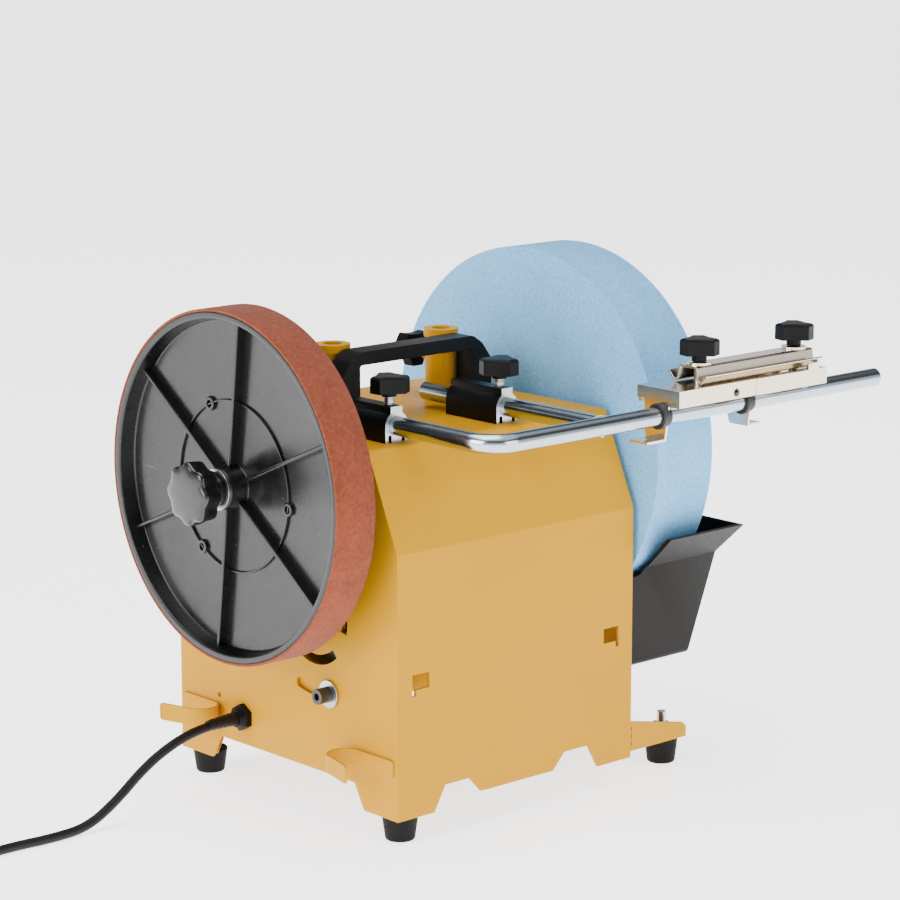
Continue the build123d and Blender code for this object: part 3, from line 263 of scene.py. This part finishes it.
MOULDED = {
    # colour, shade, lowest and highest roughness, grain in millimetres, specular level
    "black_rubber": ("#0E0E0F", "#191919", 0.55, 0.75, 0.8, 0.12),
    "black_nylon": ("#0A0A0B", "#111112", 0.34, 0.5, 0.5, 0.12),
    "polished_nylon": ("#0B0B0C", "#121213", 0.16, 0.3, 0.9, 0.6),
    "switch_key": ("#1D1F22", "#2A2C30", 0.22, 0.34, 1.0, 0.5),
    "bush_plastic": ("#161617", "#232324", 0.4, 0.55, 0.5, 0.5),
    "drive_rubber": ("#252525", "#343434", 0.7, 0.85, 0.5, 0.5),
    "pale_plastic": ("#D6D3C8", "#C4C0B2", 0.4, 0.55, 0.8, 0.5),
    "dark_grey_plastic": ("#141210", "#0F0E0C", 0.38, 0.52, 0.7, 0.08),
    "black_steel": ("#131415", "#1E1F21", 0.3, 0.45, 0.9, 0.7),
    "motor_grey": ("#7C8286", "#6C7276", 0.4, 0.55, 1.0, 0.5),
}
METAL = {
    # colour, shade, lowest and highest roughness, stretch of the grain, its relief in millimetres
    "zinc_steel": ("#C3C6C8", "#A9ACAF", 0.22, 0.38, (1, 1, 1), 0.03),
    "stainless_shaft": ("#C9CBCD", "#B0B2B5", 0.18, 0.32, (4, 0.5, 0.5), 0.03),
    "chrome_bar": ("#B9C6CF", "#A6B4BE", 0.12, 0.24, (1, 1, 1), 0.02),
    "nickel_plate": ("#EFE4D0", "#DFD2BB", 0.12, 0.24, (0.3, 1, 1), 0.02),
    "bronze_bush": ("#A87C48", "#8A6236", 0.35, 0.5, (1, 1, 1), 0.03),
    "nickel_brass": ("#CFC8B4", "#B9B19A", 0.2, 0.3, (1, 1, 1), 0.03),
    "black_anodised": ("#232427", "#2F3033", 0.34, 0.46, (1, 0.1, 1), 0.03),
}
FINISHES = {
    "yellow_enamel": yellow_enamel(),
    "aluminium_oxide_stone": grinding_stone(),
    "suede_leather": suede_leather(),
    "glossy_black_plastic": scuffed_black(),
    "cord_rubber": cord_rubber(),
}
for name, (*look, level) in MOULDED.items():
    FINISHES[name] = plain_moulded(name, *look, Specular_IOR_Level=level)
for name, look in METAL.items():
    FINISHES[name] = drawn_metal(name, *look)
BARE_CUT = drawn_metal("bare_cut_aluminium", "#C6C8CA", "#AEB0B3", 0.25, 0.4, (1, 0.2, 1), 0.03).material


def paint(piece, slot):
    """Gives a piece the finish of a record slot."""
    piece.data.materials.clear()
    piece.data.materials.append(FINISHES[slot].material)


# ---- making pieces ----

EDGE_ANGLE = 28
BEVEL_ANGLE = 40
END_GAP = 0.05 * MM


def link(name, mesh):
    piece = bpy.data.objects.new(name, mesh)
    bpy.context.collection.objects.link(piece)
    return piece


def from_bmesh(name, form, sharp=32):
    """A shaded piece from a bmesh."""
    bmesh.ops.recalc_face_normals(form, faces=form.faces)
    mesh = bpy.data.meshes.new(name)
    form.to_mesh(mesh)
    form.free()
    mesh.shade_smooth()
    mesh.set_sharp_from_angle(angle=math.radians(sharp))
    return link(name, mesh)


def rounded_edges(piece, width, segments=2, from_angle=BEVEL_ANGLE):
    """Rounds off the edges sharper than from_angle degrees, by width millimetres."""
    bevel = piece.modifiers.new("rounded edges", "BEVEL")
    bevel.width = width * MM
    bevel.segments = segments
    bevel.limit_method = "ANGLE"
    bevel.angle_limit = math.radians(from_angle)
    return bevel


def softened(node, width, segments=2, cut_ends=False):
    """A CAD node's own shape with its edges rounded off; cut_ends are bare metal across Y."""
    form = bmesh.new()
    form.from_mesh(frame["nodes"][node].data)
    bmesh.ops.remove_doubles(form, verts=form.verts, dist=1e-6)
    bmesh.ops.dissolve_limit(form, angle_limit=math.radians(0.6), verts=form.verts, edges=form.edges)
    mesh = bpy.data.meshes.new(node)
    form.to_mesh(mesh)
    form.free()
    mesh.shade_smooth()
    mesh.set_sharp_from_angle(angle=math.radians(EDGE_ANGLE))
    piece = link(node + "_made", mesh)
    rounded_edges(piece, width, segments, EDGE_ANGLE).harden_normals = True
    paint(piece, SLOT_OF[node])
    if cut_ends:
        mesh.materials.append(BARE_CUT)
        low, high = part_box(node)
        for face in mesh.polygons:
            at_end = min(abs(face.center.y - low[1]), abs(face.center.y - high[1])) < END_GAP
            if at_end and abs(face.normal.y) > 0.99:
                face.material_index = 1
    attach(piece, BODY_OF[node])
    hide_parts(node)
    return piece


def hoop(form, centre, radius, count):
    """A ring of vertices round X; radius is in metres and is given the angle."""
    row = []
    for k in range(count):
        angle = math.tau * k / count
        reach = radius(angle)
        across, up = reach * math.cos(angle), reach * math.sin(angle)
        row.append(form.verts.new((centre[0], centre[1] + across, centre[2] + up)))
    return row


def skin(form, rows, closed=False):
    """Joins each ring of vertices to the next, and the last to the first if closed."""
    following = rows[1:] + rows[:1] if closed else rows[1:]
    for near, far in zip(rows, following):
        count = len(near)
        for k in range(count):
            form.faces.new((near[k], near[(k + 1) % count], far[(k + 1) % count], far[k]))


def lathe(name, profile, centre, turns=160):
    """A closed profile of (x, radius) in metres, turned about X through centre's y and z."""
    form = bmesh.new()
    rows = []
    for x, radius in profile:
        rows.append(hoop(form, (x, centre.y, centre.z), lambda angle: radius, turns))
    skin(form, rows, closed=True)
    return from_bmesh(name, form)


def rounded(corners, radius, steps=4):
    """Rounds the corners of a closed (x, radius) profile; radius in metres."""
    points = []
    count = len(corners)
    for k in range(count):
        before, corner, after = (Vector(corners[(k + d) % count]) for d in (-1, 0, 1))
        run_in, run_out = corner - before, after - corner
        reach = min(radius, run_in.length * 0.45, run_out.length * 0.45)
        start = corner - run_in.normalized() * reach
        end = corner + run_out.normalized() * reach
        for step in range(steps + 1):
            t = step / steps
            points.append(tuple(start * (1 - t) ** 2 + corner * 2 * t * (1 - t) + end * t ** 2))
    return points


def swept(name, points, radius):
    """A round bar along a fine list of points, made a mesh."""
    line = bpy.data.curves.new(name, "CURVE")
    line.dimensions = "3D"
    line.bevel_depth = radius
    line.bevel_resolution = 12
    line.use_fill_caps = True
    run = line.splines.new("POLY")
    run.points.add(len(points) - 1)
    for spline_point, place in zip(run.points, points):
        spline_point.co = (*place, 1)
    holder = link(name + "_line", line)
    mesh = bpy.data.meshes.new_from_object(holder.evaluated_get(bpy.context.evaluated_depsgraph_get()))
    bpy.data.objects.remove(holder)
    mesh.name = name
    mesh.shade_smooth()
    mesh.set_sharp_from_angle(angle=math.radians(40))
    return link(name, mesh)


# ---- mains cord: first, so that its line is checked before the rest ----

CORD_D = 6.0
COIL_STEPS = 14
COIL_REST = 5           # steps of a last part turn
EASE_FROM = 0.75        # share of a turn after which it goes over to the next
SEAL_L = 22.0
SEAL_R = 4.3
SEAL_TAPER = 1.0
SEAL_RIB = 0.28
SEAL_RIBS = 5
SEAL_SIDE = 0.2
SEAL_DROP = 0.605
ROUTE = [
    (-7.6, 150.0, 50.5), (-29.0, 150.2, 49.9), (-53.0, 149.4, 46.0), (-78.0, 150.4, 34.0),
    (-103.0, 149.6, 15.5), (-124.0, 150.6, 3.6), (-150.0, 149.0, 3.05), (-178.0, 152.0, 3.05),
    (-206.0, 150.6, 3.05), (-222.0, 151.4, 3.05),
]
COIL = Vector((-234.0, 184.6))
TAIL = [
    (-265.6, 204.0, 14.6), (-261.0, 219.0, 12.6), (-254.4, 231.0, 10.4), (-252.2, 239.0, 10.0),
    (-252.0, 246.0, 10.0),
]
COIL_TURNS = ((33.0, 3.05), (39.0, 3.05), (39.0, 9.1), (33.0, 9.1), (27.0, 9.1), (27.0, 3.05), (33.0, 15.0))


def coil_points():
    """The wound turns, each of (radius, height): out, up, back in, and one over the top."""
    points = []
    for k in range(len(COIL_TURNS) * COIL_STEPS + COIL_REST):
        t = k / COIL_STEPS
        turn = min(int(t), len(COIL_TURNS) - 1)
        after = min(turn + 1, len(COIL_TURNS) - 1)
        ease = max(0.0, min(1.0, (t - turn - EASE_FROM) / (1 - EASE_FROM)))
        radius, height = (a + (b - a) * ease for a, b in zip(COIL_TURNS[turn], COIL_TURNS[after]))
        angle = -math.pi / 2 - math.tau * t
        points.append((COIL.x + radius * math.cos(angle), COIL.y + radius * math.sin(angle), height))
    return points


def mains_cord():
    """The whole cord as a curve, and its length in metres."""
    points = ROUTE + coil_points() + TAIL
    line = bpy.data.curves.new("mains_cord_run", "CURVE")
    line.dimensions = "3D"
    line.bevel_depth = CORD_D / 2 * MM
    line.bevel_resolution = 4
    line.resolution_u = 8
    line.use_fill_caps = True
    spline = line.splines.new("NURBS")
    spline.points.add(len(points) - 1)
    for control, place in zip(spline.points, points):
        control.co = (*spot(*place), 1)
    spline.order_u = 3
    spline.use_endpoint_u = True
    cord = link("mains_cord_run", line)
    cord.data.materials.append(FINISHES["cord_rubber"].material)
    return cord, sum(run.calc_length() for run in line.splines)


def gland_seal():
    """The gland's rubber seal, drawn out into a ribbed sleeve that takes the strain off the cord."""
    start = spot(*ROUTE[0])
    form = bmesh.new()
    rows = []
    steps = 40
    for step in range(steps + 1):
        share = step / steps
        rib = 0.0
        if 0.1 < share < 0.95:
            rib = SEAL_RIB * (0.5 + 0.5 * math.cos(share * math.tau * SEAL_RIBS))
        radius = (SEAL_R - SEAL_TAPER * share + rib) * MM
        centre = start + Vector((-SEAL_L * share, SEAL_SIDE * share, -SEAL_DROP * share ** 2)) * MM
        rows.append(hoop(form, centre, lambda angle: radius, 40))
    skin(form, rows)
    form.faces.new(rows[0])
    form.faces.new(rows[-1])
    return from_bmesh("gland_seal", form, 50)


cord, cord_length = mains_cord()
seal = gland_seal()
paint(seal, "cord_rubber")
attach(seal, "housing")
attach(cord, "housing")
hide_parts("mains_cord", "cord_coil", "plug_tail")
plug = softened("plug_body", 2.2, 4)
pins = softened("plug_pins", 1.6, 4)


# ---- stage and light ----

FLOOR_REACH = 24.0
FLOOR_GLOW = 2.4
SKY = ((0.1, 0.95), (0.3, 0.85), (0.42, 0.08), (0.66, 0.10), (0.8, 1.0))
LAMPS = (
    # name, place, target, size, power
    ("key", (-2.3, 0.1, 1.1), (0, 0, 0.15), (1.6, 1.2), 54),
    ("front", (0.4, -2.4, 0.9), (0, 0, 0.15), (1.6, 1.2), 26),
    ("top", (-0.3, 0.2, 2.2), (0, 0, 0.1), (2.0, 1.4), 36),
)


def stage():
    """A pale floor that glows a little, so that its far edge meets the sky."""
    floor = bpy.data.meshes.new("floor")
    corners = [(x * FLOOR_REACH, y * FLOOR_REACH, 0) for x, y in ((-1, -1), (1, -1), (1, 1), (-1, 1))]
    floor.from_pydata(corners, [], [(0, 1, 2, 3)])
    ground = link("floor", floor)
    pale = Finish("pale_floor", "#FAFAFA", 0.75)
    pale.tint(pale.steps(pale.noise(400, 2), (0.3, 0.0), (0.8, 0.4)), "#F6F6F6")
    pale.shader.inputs["Emission Color"].default_value = (1.0, 1.0, 1.0, 1.0)
    pale.shader.inputs["Emission Strength"].default_value = FLOOR_GLOW
    ground.data.materials.append(pale.material)


def lamp(name, place, target, size, power):
    light = bpy.data.lights.new(name, "AREA")
    light.shape = "RECTANGLE"
    light.size, light.size_y = size
    light.energy = power
    holder = link(name, light)
    holder.location = place
    aim = Vector(target) - Vector(place)
    holder.rotation_euler = aim.to_track_quat("-Z", "Y").to_euler()


def studio():
    """A sky of grey bands by height, for the metal to mirror, and three soft lamps."""
    world = bpy.data.worlds.new("studio")
    bpy.context.scene.world = world
    world.use_nodes = True
    nodes, links = world.node_tree.nodes, world.node_tree.links
    sky = nodes["Background"]
    sky.inputs["Strength"].default_value = 1.0
    place = nodes.new("ShaderNodeTexCoord").outputs["Generated"]
    height = nodes.new("ShaderNodeSeparateXYZ")
    band = nodes.new("ShaderNodeValToRGB")
    links.new(place, height.inputs[0])
    links.new(height.outputs["Z"], band.inputs["Fac"])
    links.new(band.outputs["Color"], sky.inputs["Color"])
    stops = band.color_ramp.elements
    while len(stops) < len(SKY):
        stops.new(0.5)
    for stop, (position, tone) in zip(stops, SKY):
        stop.position = position
        stop.color = (tone, tone, tone * 1.03, 1.0)
    for settings in LAMPS:
        lamp(*settings)


stage()
studio()

# ---- every CAD node gets its finish, and most get rounded edges ----

ROUNDING = {
    "housing_wrap": 0.7, "left_end_wall": 0.4, "right_end_wall": 0.4, "cord_hooks": 0.35, "rubber_feet": 1.3,
    "foot_bolts": 0.4, "housing_rivets": 0.6, "shaft_bushes": 0.4, "bar_tubes": 0.6,
    "sleeve_screws": 0.4, "handle_screws": 0.4, "trough_pins": 0.5, "cable_gland": 0.6,
    "gland_nut": 0.5, "switch_body": 0.8, "switch_rocker": 0.8, "stone_inner_flange": 0.4,
    "stone_outer_flange": 0.4, "stone_nut": 0.5, "honing_washer": 0.3, "motor_plate": 0.4, "motor_pivot_pin": 0.4,
    "lock_bolt": 0.35, "lock_washer": 0.25, "left_sleeve_knob": 1.1, "right_sleeve_knob": 1.1,
    "left_tube_knob": 1.1, "right_tube_knob": 1.1, "left_jig_knob": 1.1, "right_jig_knob": 1.1,
    "jig_channel": 0.5, "jig_brackets": 0.35, "jig_bushes": 0.4, "jig_clamp_bar": 0.3, "water_trough": 0.7,
    "carry_handle": 1.6, "motor_can": 0.6, "motor_end_caps": 1.0, "drive_roller": 0.5, "cooling_fan": 0.3,
    "shaft_collars": 0.5, "terminal_block": 0.5, "run_capacitor": 0.6,
}
LATER = {
    "grinding_stone", "honing_rim", "honing_web", "honing_knob", "leather_band", "support_bar", "left_sleeve",
    "right_sleeve", "mains_cord", "cord_coil", "plug_tail", "plug_body", "plug_pins",
}

for node, piece in frame["nodes"].items():
    if node in LATER:
        continue
    if node in ROUNDING:
        softened(node, ROUNDING[node], 3 if ROUNDING[node] > 1 else 2)
    else:
        piece.data.materials.clear()
        piece.data.materials.append(FINISHES[SLOT_OF[node]].material)

for node in ("left_sleeve", "right_sleeve"):
    softened(node, 0.5, cut_ends=True)


# ---- grinding stone, honing wheel and leather ----

SHAFT_R = 6.0
HIDE_T = 1.8
HUB_R = 14.0
HUB_OUT = 2.0           # hub past the band on its outer side
HUB_BACK = 4.0          # and towards the housing
WEB_IN = 10.7
WEB_T = 4.0
RIM_T = 4.3
TRACK_R = 100.5
RING_R = 53.5
RING_T = 0.9
RING_H = 1.6
BOSSES = 3
FIRST_BOSS = 66
BOSS_R = 4.3
BOSS_BORE_R = 2.2
BOSS_H = 2.0
RIB_T = 2.4
RIB_H = 6.5
RIB_PHASE = 36.6


def in_metres(*rows):
    """Offsets from a face and radii in millimetres, made a profile round X."""
    return [(x + offset * MM, radius * MM) for x, offset, radius in rows]


def stone_piece():
    low, high = (Vector(corner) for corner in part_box("grinding_stone"))
    radius = (high.z - low.z) / 2
    bore = SHAFT_R * MM
    edge = rounded([(low.x, bore), (low.x, radius), (high.x, radius), (high.x, bore)], 1.1 * MM)
    stone = lathe("grinding_stone_body", edge, AXLE, 256)
    paint(stone, "aluminium_oxide_stone")
    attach(stone, "wheel_shaft")
    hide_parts("grinding_stone")


def wheel_body(near, far, body):
    """The honing wheel's rim, web and hub between two x, out to a radius of body millimetres."""
    web = near + WEB_IN * MM
    back = web + WEB_T * MM
    profile = in_metres(
        (near, -HUB_OUT, SHAFT_R), (near, -HUB_OUT, HUB_R - 1), (web, 0, HUB_R), (web, 0, 50),
        (web, 0, body - 6.2), (near, 0.2, body - RIM_T), (near, 0, body), (far, 0, body),
        (far, 0, TRACK_R + 0.4), (back, 0, TRACK_R),
        (back, 0, 40), (back, 0, HUB_R), (far, HUB_BACK, HUB_R), (far, HUB_BACK, SHAFT_R),
    )
    return lathe("honing_wheel_body", rounded(profile, 1.0 * MM, 3), AXLE, 256)


def wheel_ring(web):
    """The fine raised circle through the three bosses."""
    bead = in_metres(
        (web, 0.3, RING_R - RING_T), (web, -RING_H, RING_R - RING_T * 0.6),
        (web, -RING_H, RING_R + RING_T * 0.6), (web, 0.3, RING_R + RING_T),
    )
    return lathe(f"honing_wheel_ring_{int(RING_R)}", rounded(bead, 0.4 * MM, 2), AXLE, 128)


def wheel_boss(web, k):
    """A small hollow boss on that circle, and the dark floor of its hole."""
    angle = math.radians(FIRST_BOSS + 360 / BOSSES * k)
    centre = AXLE + Vector((0, math.cos(angle), math.sin(angle))) * RING_R * MM
    wall = in_metres((web, 0.5, BOSS_BORE_R), (web, -BOSS_H, BOSS_BORE_R), (web, -BOSS_H, BOSS_R),
                     (web, 0.5, BOSS_R + 0.4))
    floor = in_metres((web, -0.2, 0.01), (web, -0.2, BOSS_BORE_R + 0.1), (web, 0.4, BOSS_BORE_R + 0.1),
                      (web, 0.4, 0.01))
    return (lathe(f"honing_wheel_boss_{k + 1}", rounded(wall, 0.5 * MM, 2), centre, 32),
            lathe(f"honing_wheel_boss_floor_{k + 1}", floor, centre, 24))


def honing_pieces():
    low, high = (Vector(corner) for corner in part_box("leather_band"))
    radius = (high.z - low.z) / 2
    body = radius - HIDE_T * MM
    web = low.x + WEB_IN * MM
    wheel = wheel_body(low.x, high.x, body / MM)
    moulded = [wheel, wheel_ring(web)]
    for k in range(BOSSES):
        moulded.extend(wheel_boss(web, k))
    for piece in moulded:
        paint(piece, "glossy_black_plastic")
        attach(piece, "wheel_shaft")
    ribs(web, body)
    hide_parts("honing_rim", "honing_web")
    strip = rounded([(low.x, body), (low.x, radius), (high.x, radius), (high.x, body)], 0.7 * MM)
    band = lathe("leather_band_strip", strip, AXLE, 256)
    paint(band, "suede_leather")
    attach(band, "wheel_shaft")
    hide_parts("leather_band")


# ---- Geometry Nodes: ribs that repeat round an axle ----

class Tree:
    """A geometry node tree with named inputs, joined up one node at a time."""

    def __init__(self, name, **inputs):
        self.tree = bpy.data.node_groups.new(name, "GeometryNodeTree")
        self.tree.interface.new_socket("Geometry", in_out="INPUT", socket_type="NodeSocketGeometry")
        for label, value in inputs.items():
            kind = "NodeSocketInt" if isinstance(value, int) else "NodeSocketFloat"
            kind = "NodeSocketMaterial" if isinstance(value, bpy.types.Material) else kind
            made = self.tree.interface.new_socket(label, in_out="INPUT", socket_type=kind)
            made.default_value = value
        self.tree.interface.new_socket("Geometry", in_out="OUTPUT", socket_type="NodeSocketGeometry")
        self.inputs = self.tree.nodes.new("NodeGroupInput").outputs
        self.result = self.tree.nodes.new("NodeGroupOutput").inputs[0]

    def add(self, kind, links=None, **settings):
        made = self.tree.nodes.new(kind)
        for name, value in settings.items():
            setattr(made, name, value)
        for socket, source in (links or {}).items():
            if hasattr(source, "is_output"):
                self.tree.links.new(source, made.inputs[socket])
            else:
                made.inputs[socket].default_value = source
        return made.outputs

    def math(self, operation, first, second):
        return self.add("ShaderNodeMath", {0: first, 1: second}, operation=operation)[0]

    def vector(self, x, y, z):
        return self.add("ShaderNodeCombineXYZ", {"X": x, "Y": y, "Z": z})[0]

    def finish(self, geometry, material):
        real = self.add("GeometryNodeRealizeInstances", {0: geometry})[0]
        painted = self.add("GeometryNodeSetMaterial", {"Geometry": real, "Material": material})[0]
        self.tree.links.new(painted, self.result)


def grown(name, tree, body):
    """Runs a tree and keeps its result as a plain mesh that rides on a body."""
    seed = link(name + "_seed", bpy.data.meshes.new(name))
    modifier = seed.modifiers.new("made", "NODES")
    modifier.node_group = tree.tree
    result = bpy.data.meshes.new_from_object(seed.evaluated_get(bpy.context.evaluated_depsgraph_get()))
    bpy.data.objects.remove(seed)
    result.name = name
    result.set_sharp_from_angle(angle=math.radians(32))
    piece = link(name, result)
    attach(piece, body)
    return piece


def ribs(web, body):
    """The honing wheel's six stiffening ribs, from its hub to its rim, on the web's face."""
    tree = Tree("wheel_ribs", Count=6, Phase=math.radians(RIB_PHASE), Inner=(HUB_R - 1) * MM,
                Outer=body - 3 * MM, Thickness=RIB_T * MM, Height=RIB_H * MM,
                Plastic=FINISHES["glossy_black_plastic"].material)
    ins = tree.inputs
    length = tree.math("SUBTRACT", ins["Outer"], ins["Inner"])
    bar = tree.add("GeometryNodeMeshCube", {"Size": tree.vector(ins["Height"], length, ins["Thickness"])})[0]
    reach = tree.math("ADD", ins["Inner"], tree.math("MULTIPLY", length, 0.5))
    moved = tree.add("GeometryNodeTransform", {"Geometry": bar, "Translation": tree.vector(0.0, reach, 0.0)})[0]
    points = tree.add("GeometryNodePoints", {"Count": ins["Count"], "Radius": 0.001})[0]
    index = tree.add("GeometryNodeInputIndex")[0]
    step = tree.math("DIVIDE", math.tau, ins["Count"])
    angle = tree.math("ADD", ins["Phase"], tree.math("MULTIPLY", index, step))
    placed = tree.add("GeometryNodeInstanceOnPoints", {
        "Points": points, "Instance": moved, "Rotation": tree.vector(angle, 0.0, 0.0),
    })[0]
    tree.finish(placed, ins["Plastic"])
    piece = grown("honing_wheel_ribs", tree, "wheel_shaft")
    piece.data.transform(Matrix.Translation((web - 2.6 * MM, AXLE.y, AXLE.z)))
    rounded_edges(piece, 0.6)


def thread(name, body, slot, start, axis, length, radius, pitch=1.0):
    """The turns of a screw thread round a stud."""
    tree = Tree("thread_turns", Turns=length / (pitch * MM), Length=length, Radius=radius,
                Depth=0.33 * pitch * MM, Metal=FINISHES[slot].material)
    ins = tree.inputs
    coil = tree.add("GeometryNodeCurveSpiral", {
        "Resolution": 18, "Rotations": ins["Turns"], "Start Radius": ins["Radius"], "End Radius": ins["Radius"],
        "Height": ins["Length"],
    })[0]
    tooth = tree.add("GeometryNodeCurvePrimitiveCircle", {"Resolution": 4, "Radius": ins["Depth"]},
                     mode="RADIUS")[0]
    solid = tree.add("GeometryNodeCurveToMesh", {"Curve": coil, "Profile Curve": tooth, "Fill Caps": True})[0]
    tree.finish(solid, ins["Metal"])
    piece = grown(name, tree, body)
    turn = Vector((0, 0, 1)).rotation_difference(Vector(axis)).to_matrix().to_4x4()
    piece.data.transform(Matrix.Translation(start) @ turn)
    return piece


# ---- knobs ----

STAR_WAVES = 8
STAR_WAVE_H = 1.1
STAR_ROWS = (
    # depth, radius, share of the scallop
    (0.0, 1.0, 0.0), (0.05, 4.0, 0.0), (0.2, 8.0, 0.0), (0.5, 12.0, 0.05), (0.95, 15.0, 0.3),
    (1.4, 16.8, 0.7), (1.9, 17.9, 0.95), (2.7, 18.6, 1.0), (3.8, 18.9, 1.0), (8.0, 18.7, 1.0),
    (12.6, 18.3, 1.0), (13.9, 17.8, 1.0), (14.7, 16.8, 0.8), (15.0, 15.0, 0.5), (15.0, 12.0, 0.0),
    (15.3, 11.2, 0.0), (16.0, 11.0, 0.0), (24.0, 11.0, 0.0), (24.3, 10.7, 0.0), (24.3, 6.0, 0.0),
)


def star_knob():
    """The honing wheel's scalloped hand nut, domed in front."""
    face_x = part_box("honing_knob")[0][0]
    form = bmesh.new()
    rows = []
    for depth, radius, wave in STAR_ROWS:
        rows.append(hoop(form, (face_x + depth * MM, AXLE.y, AXLE.z),
                         lambda angle: (radius + STAR_WAVE_H * wave * math.cos(STAR_WAVES * angle)) * MM, 192))
    skin(form, rows)
    form.faces.new(rows[0])
    form.faces.new(rows[-1])
    knob = from_bmesh("honing_knob_star", form, 50)
    paint(knob, "polished_nylon")
    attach(knob, "wheel_shaft")
    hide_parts("honing_knob")


STUD_R = 3.0
KNOBS = {
    # the stud's axis, and its bare length below the neck
    "left_sleeve_knob": (2, 11.0), "right_sleeve_knob": (2, 11.0), "left_tube_knob": (1, 11.0),
    "right_tube_knob": (1, 11.0), "left_jig_knob": (2, 19.5), "right_jig_knob": (2, 19.5),
}


def stud(node, axis, bare):
    """Gives a hand knob's steel stud its zinc and its thread."""
    piece = bpy.data.objects[node + "_made"]
    piece.data.materials.append(FINISHES["zinc_steel"].material)
    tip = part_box(node)[0][axis]
    end = [v.co for v in piece.data.vertices if abs(v.co[axis] - tip) < END_GAP]
    start = sum(end, Vector()) / len(end)
    for face in piece.data.polygons:
        away = face.center - start
        along = away[axis]
        away[axis] = 0.0
        if away.length < (STUD_R + 0.15) * MM and along < (bare + 0.2) * MM:
            face.material_index = 1
    aim = Vector([float(k == axis) for k in range(3)])
    thread(node + "_thread", BODY_OF[node], "zinc_steel", start + aim * 0.8 * MM, aim, (bare - 1.2) * MM,
           STUD_R * MM)


# ---- support bar ----

BAR_R = 6.0
BAR_BEND = 18.0
BAR_OVER_SLEEVE = 10.1  # bar's middle above the sleeves' undersides
BEND_STEPS = 24
BEAD_R = 1.0
BEAD_RIPPLE = 0.07
BEAD_RIPPLES = 22


def bar_piece():
    """The bent bar, the second leg welded to it, and the weld."""
    low, high = (Vector(corner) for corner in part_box("support_bar"))
    centre_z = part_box("left_sleeve")[0][2] + BAR_OVER_SLEEVE * MM
    r, bend = BAR_R * MM, BAR_BEND * MM
    x1, y_arm = low.x + r, low.y + r
    points = [Vector((x1, high.y, centre_z))]
    for k in range(BEND_STEPS + 1):
        angle = math.pi + math.pi / 2 * k / BEND_STEPS
        along, out = bend * (1 + math.cos(angle)), bend * (1 + math.sin(angle))
        points.append(Vector((x1 + along, y_arm + out, centre_z)))
    points.append(Vector((high.x, y_arm, centre_z)))
    arm = swept("support_bar_arm", points, r)
    second_x = middle("right_sleeve").x
    leg_ends = [Vector((second_x, y, centre_z)) for y in (high.y, y_arm)]
    leg = swept("support_bar_leg", leg_ends, r)
    bead = weld_bead(second_x, y_arm, centre_z, r)
    for piece in (arm, leg):
        rounded_edges(piece, 1.0, 3)
    for piece in (arm, leg, bead):
        paint(piece, "chrome_bar")
        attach(piece, "tool_bar")
    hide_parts("support_bar")


def weld_bead(x, y, z, r):
    """A rippled fillet weld where the second leg meets the arm."""
    form = bmesh.new()
    around, across = 96, 10
    rows = []
    for k in range(around):
        angle = math.tau * k / around
        dx, dz = math.cos(angle), math.sin(angle)
        seam = Vector((x + r * dx, y + r * abs(dx), z + r * dz))
        size = BEAD_R * MM * (1 + BEAD_RIPPLE * math.sin(angle * BEAD_RIPPLES))
        row = []
        for j in range(across):
            turn = math.tau * j / across
            away = Vector((dx * math.cos(turn), math.sin(turn), dz * math.cos(turn)))
            row.append(form.verts.new(seam + away * size))
        rows.append(row)
    skin(form, rows, closed=True)
    return from_bmesh("support_bar_weld", form, 60)


stone_piece()
honing_pieces()
star_knob()
bar_piece()
for node, (axis, bare) in KNOBS.items():
    stud(node, axis, bare)
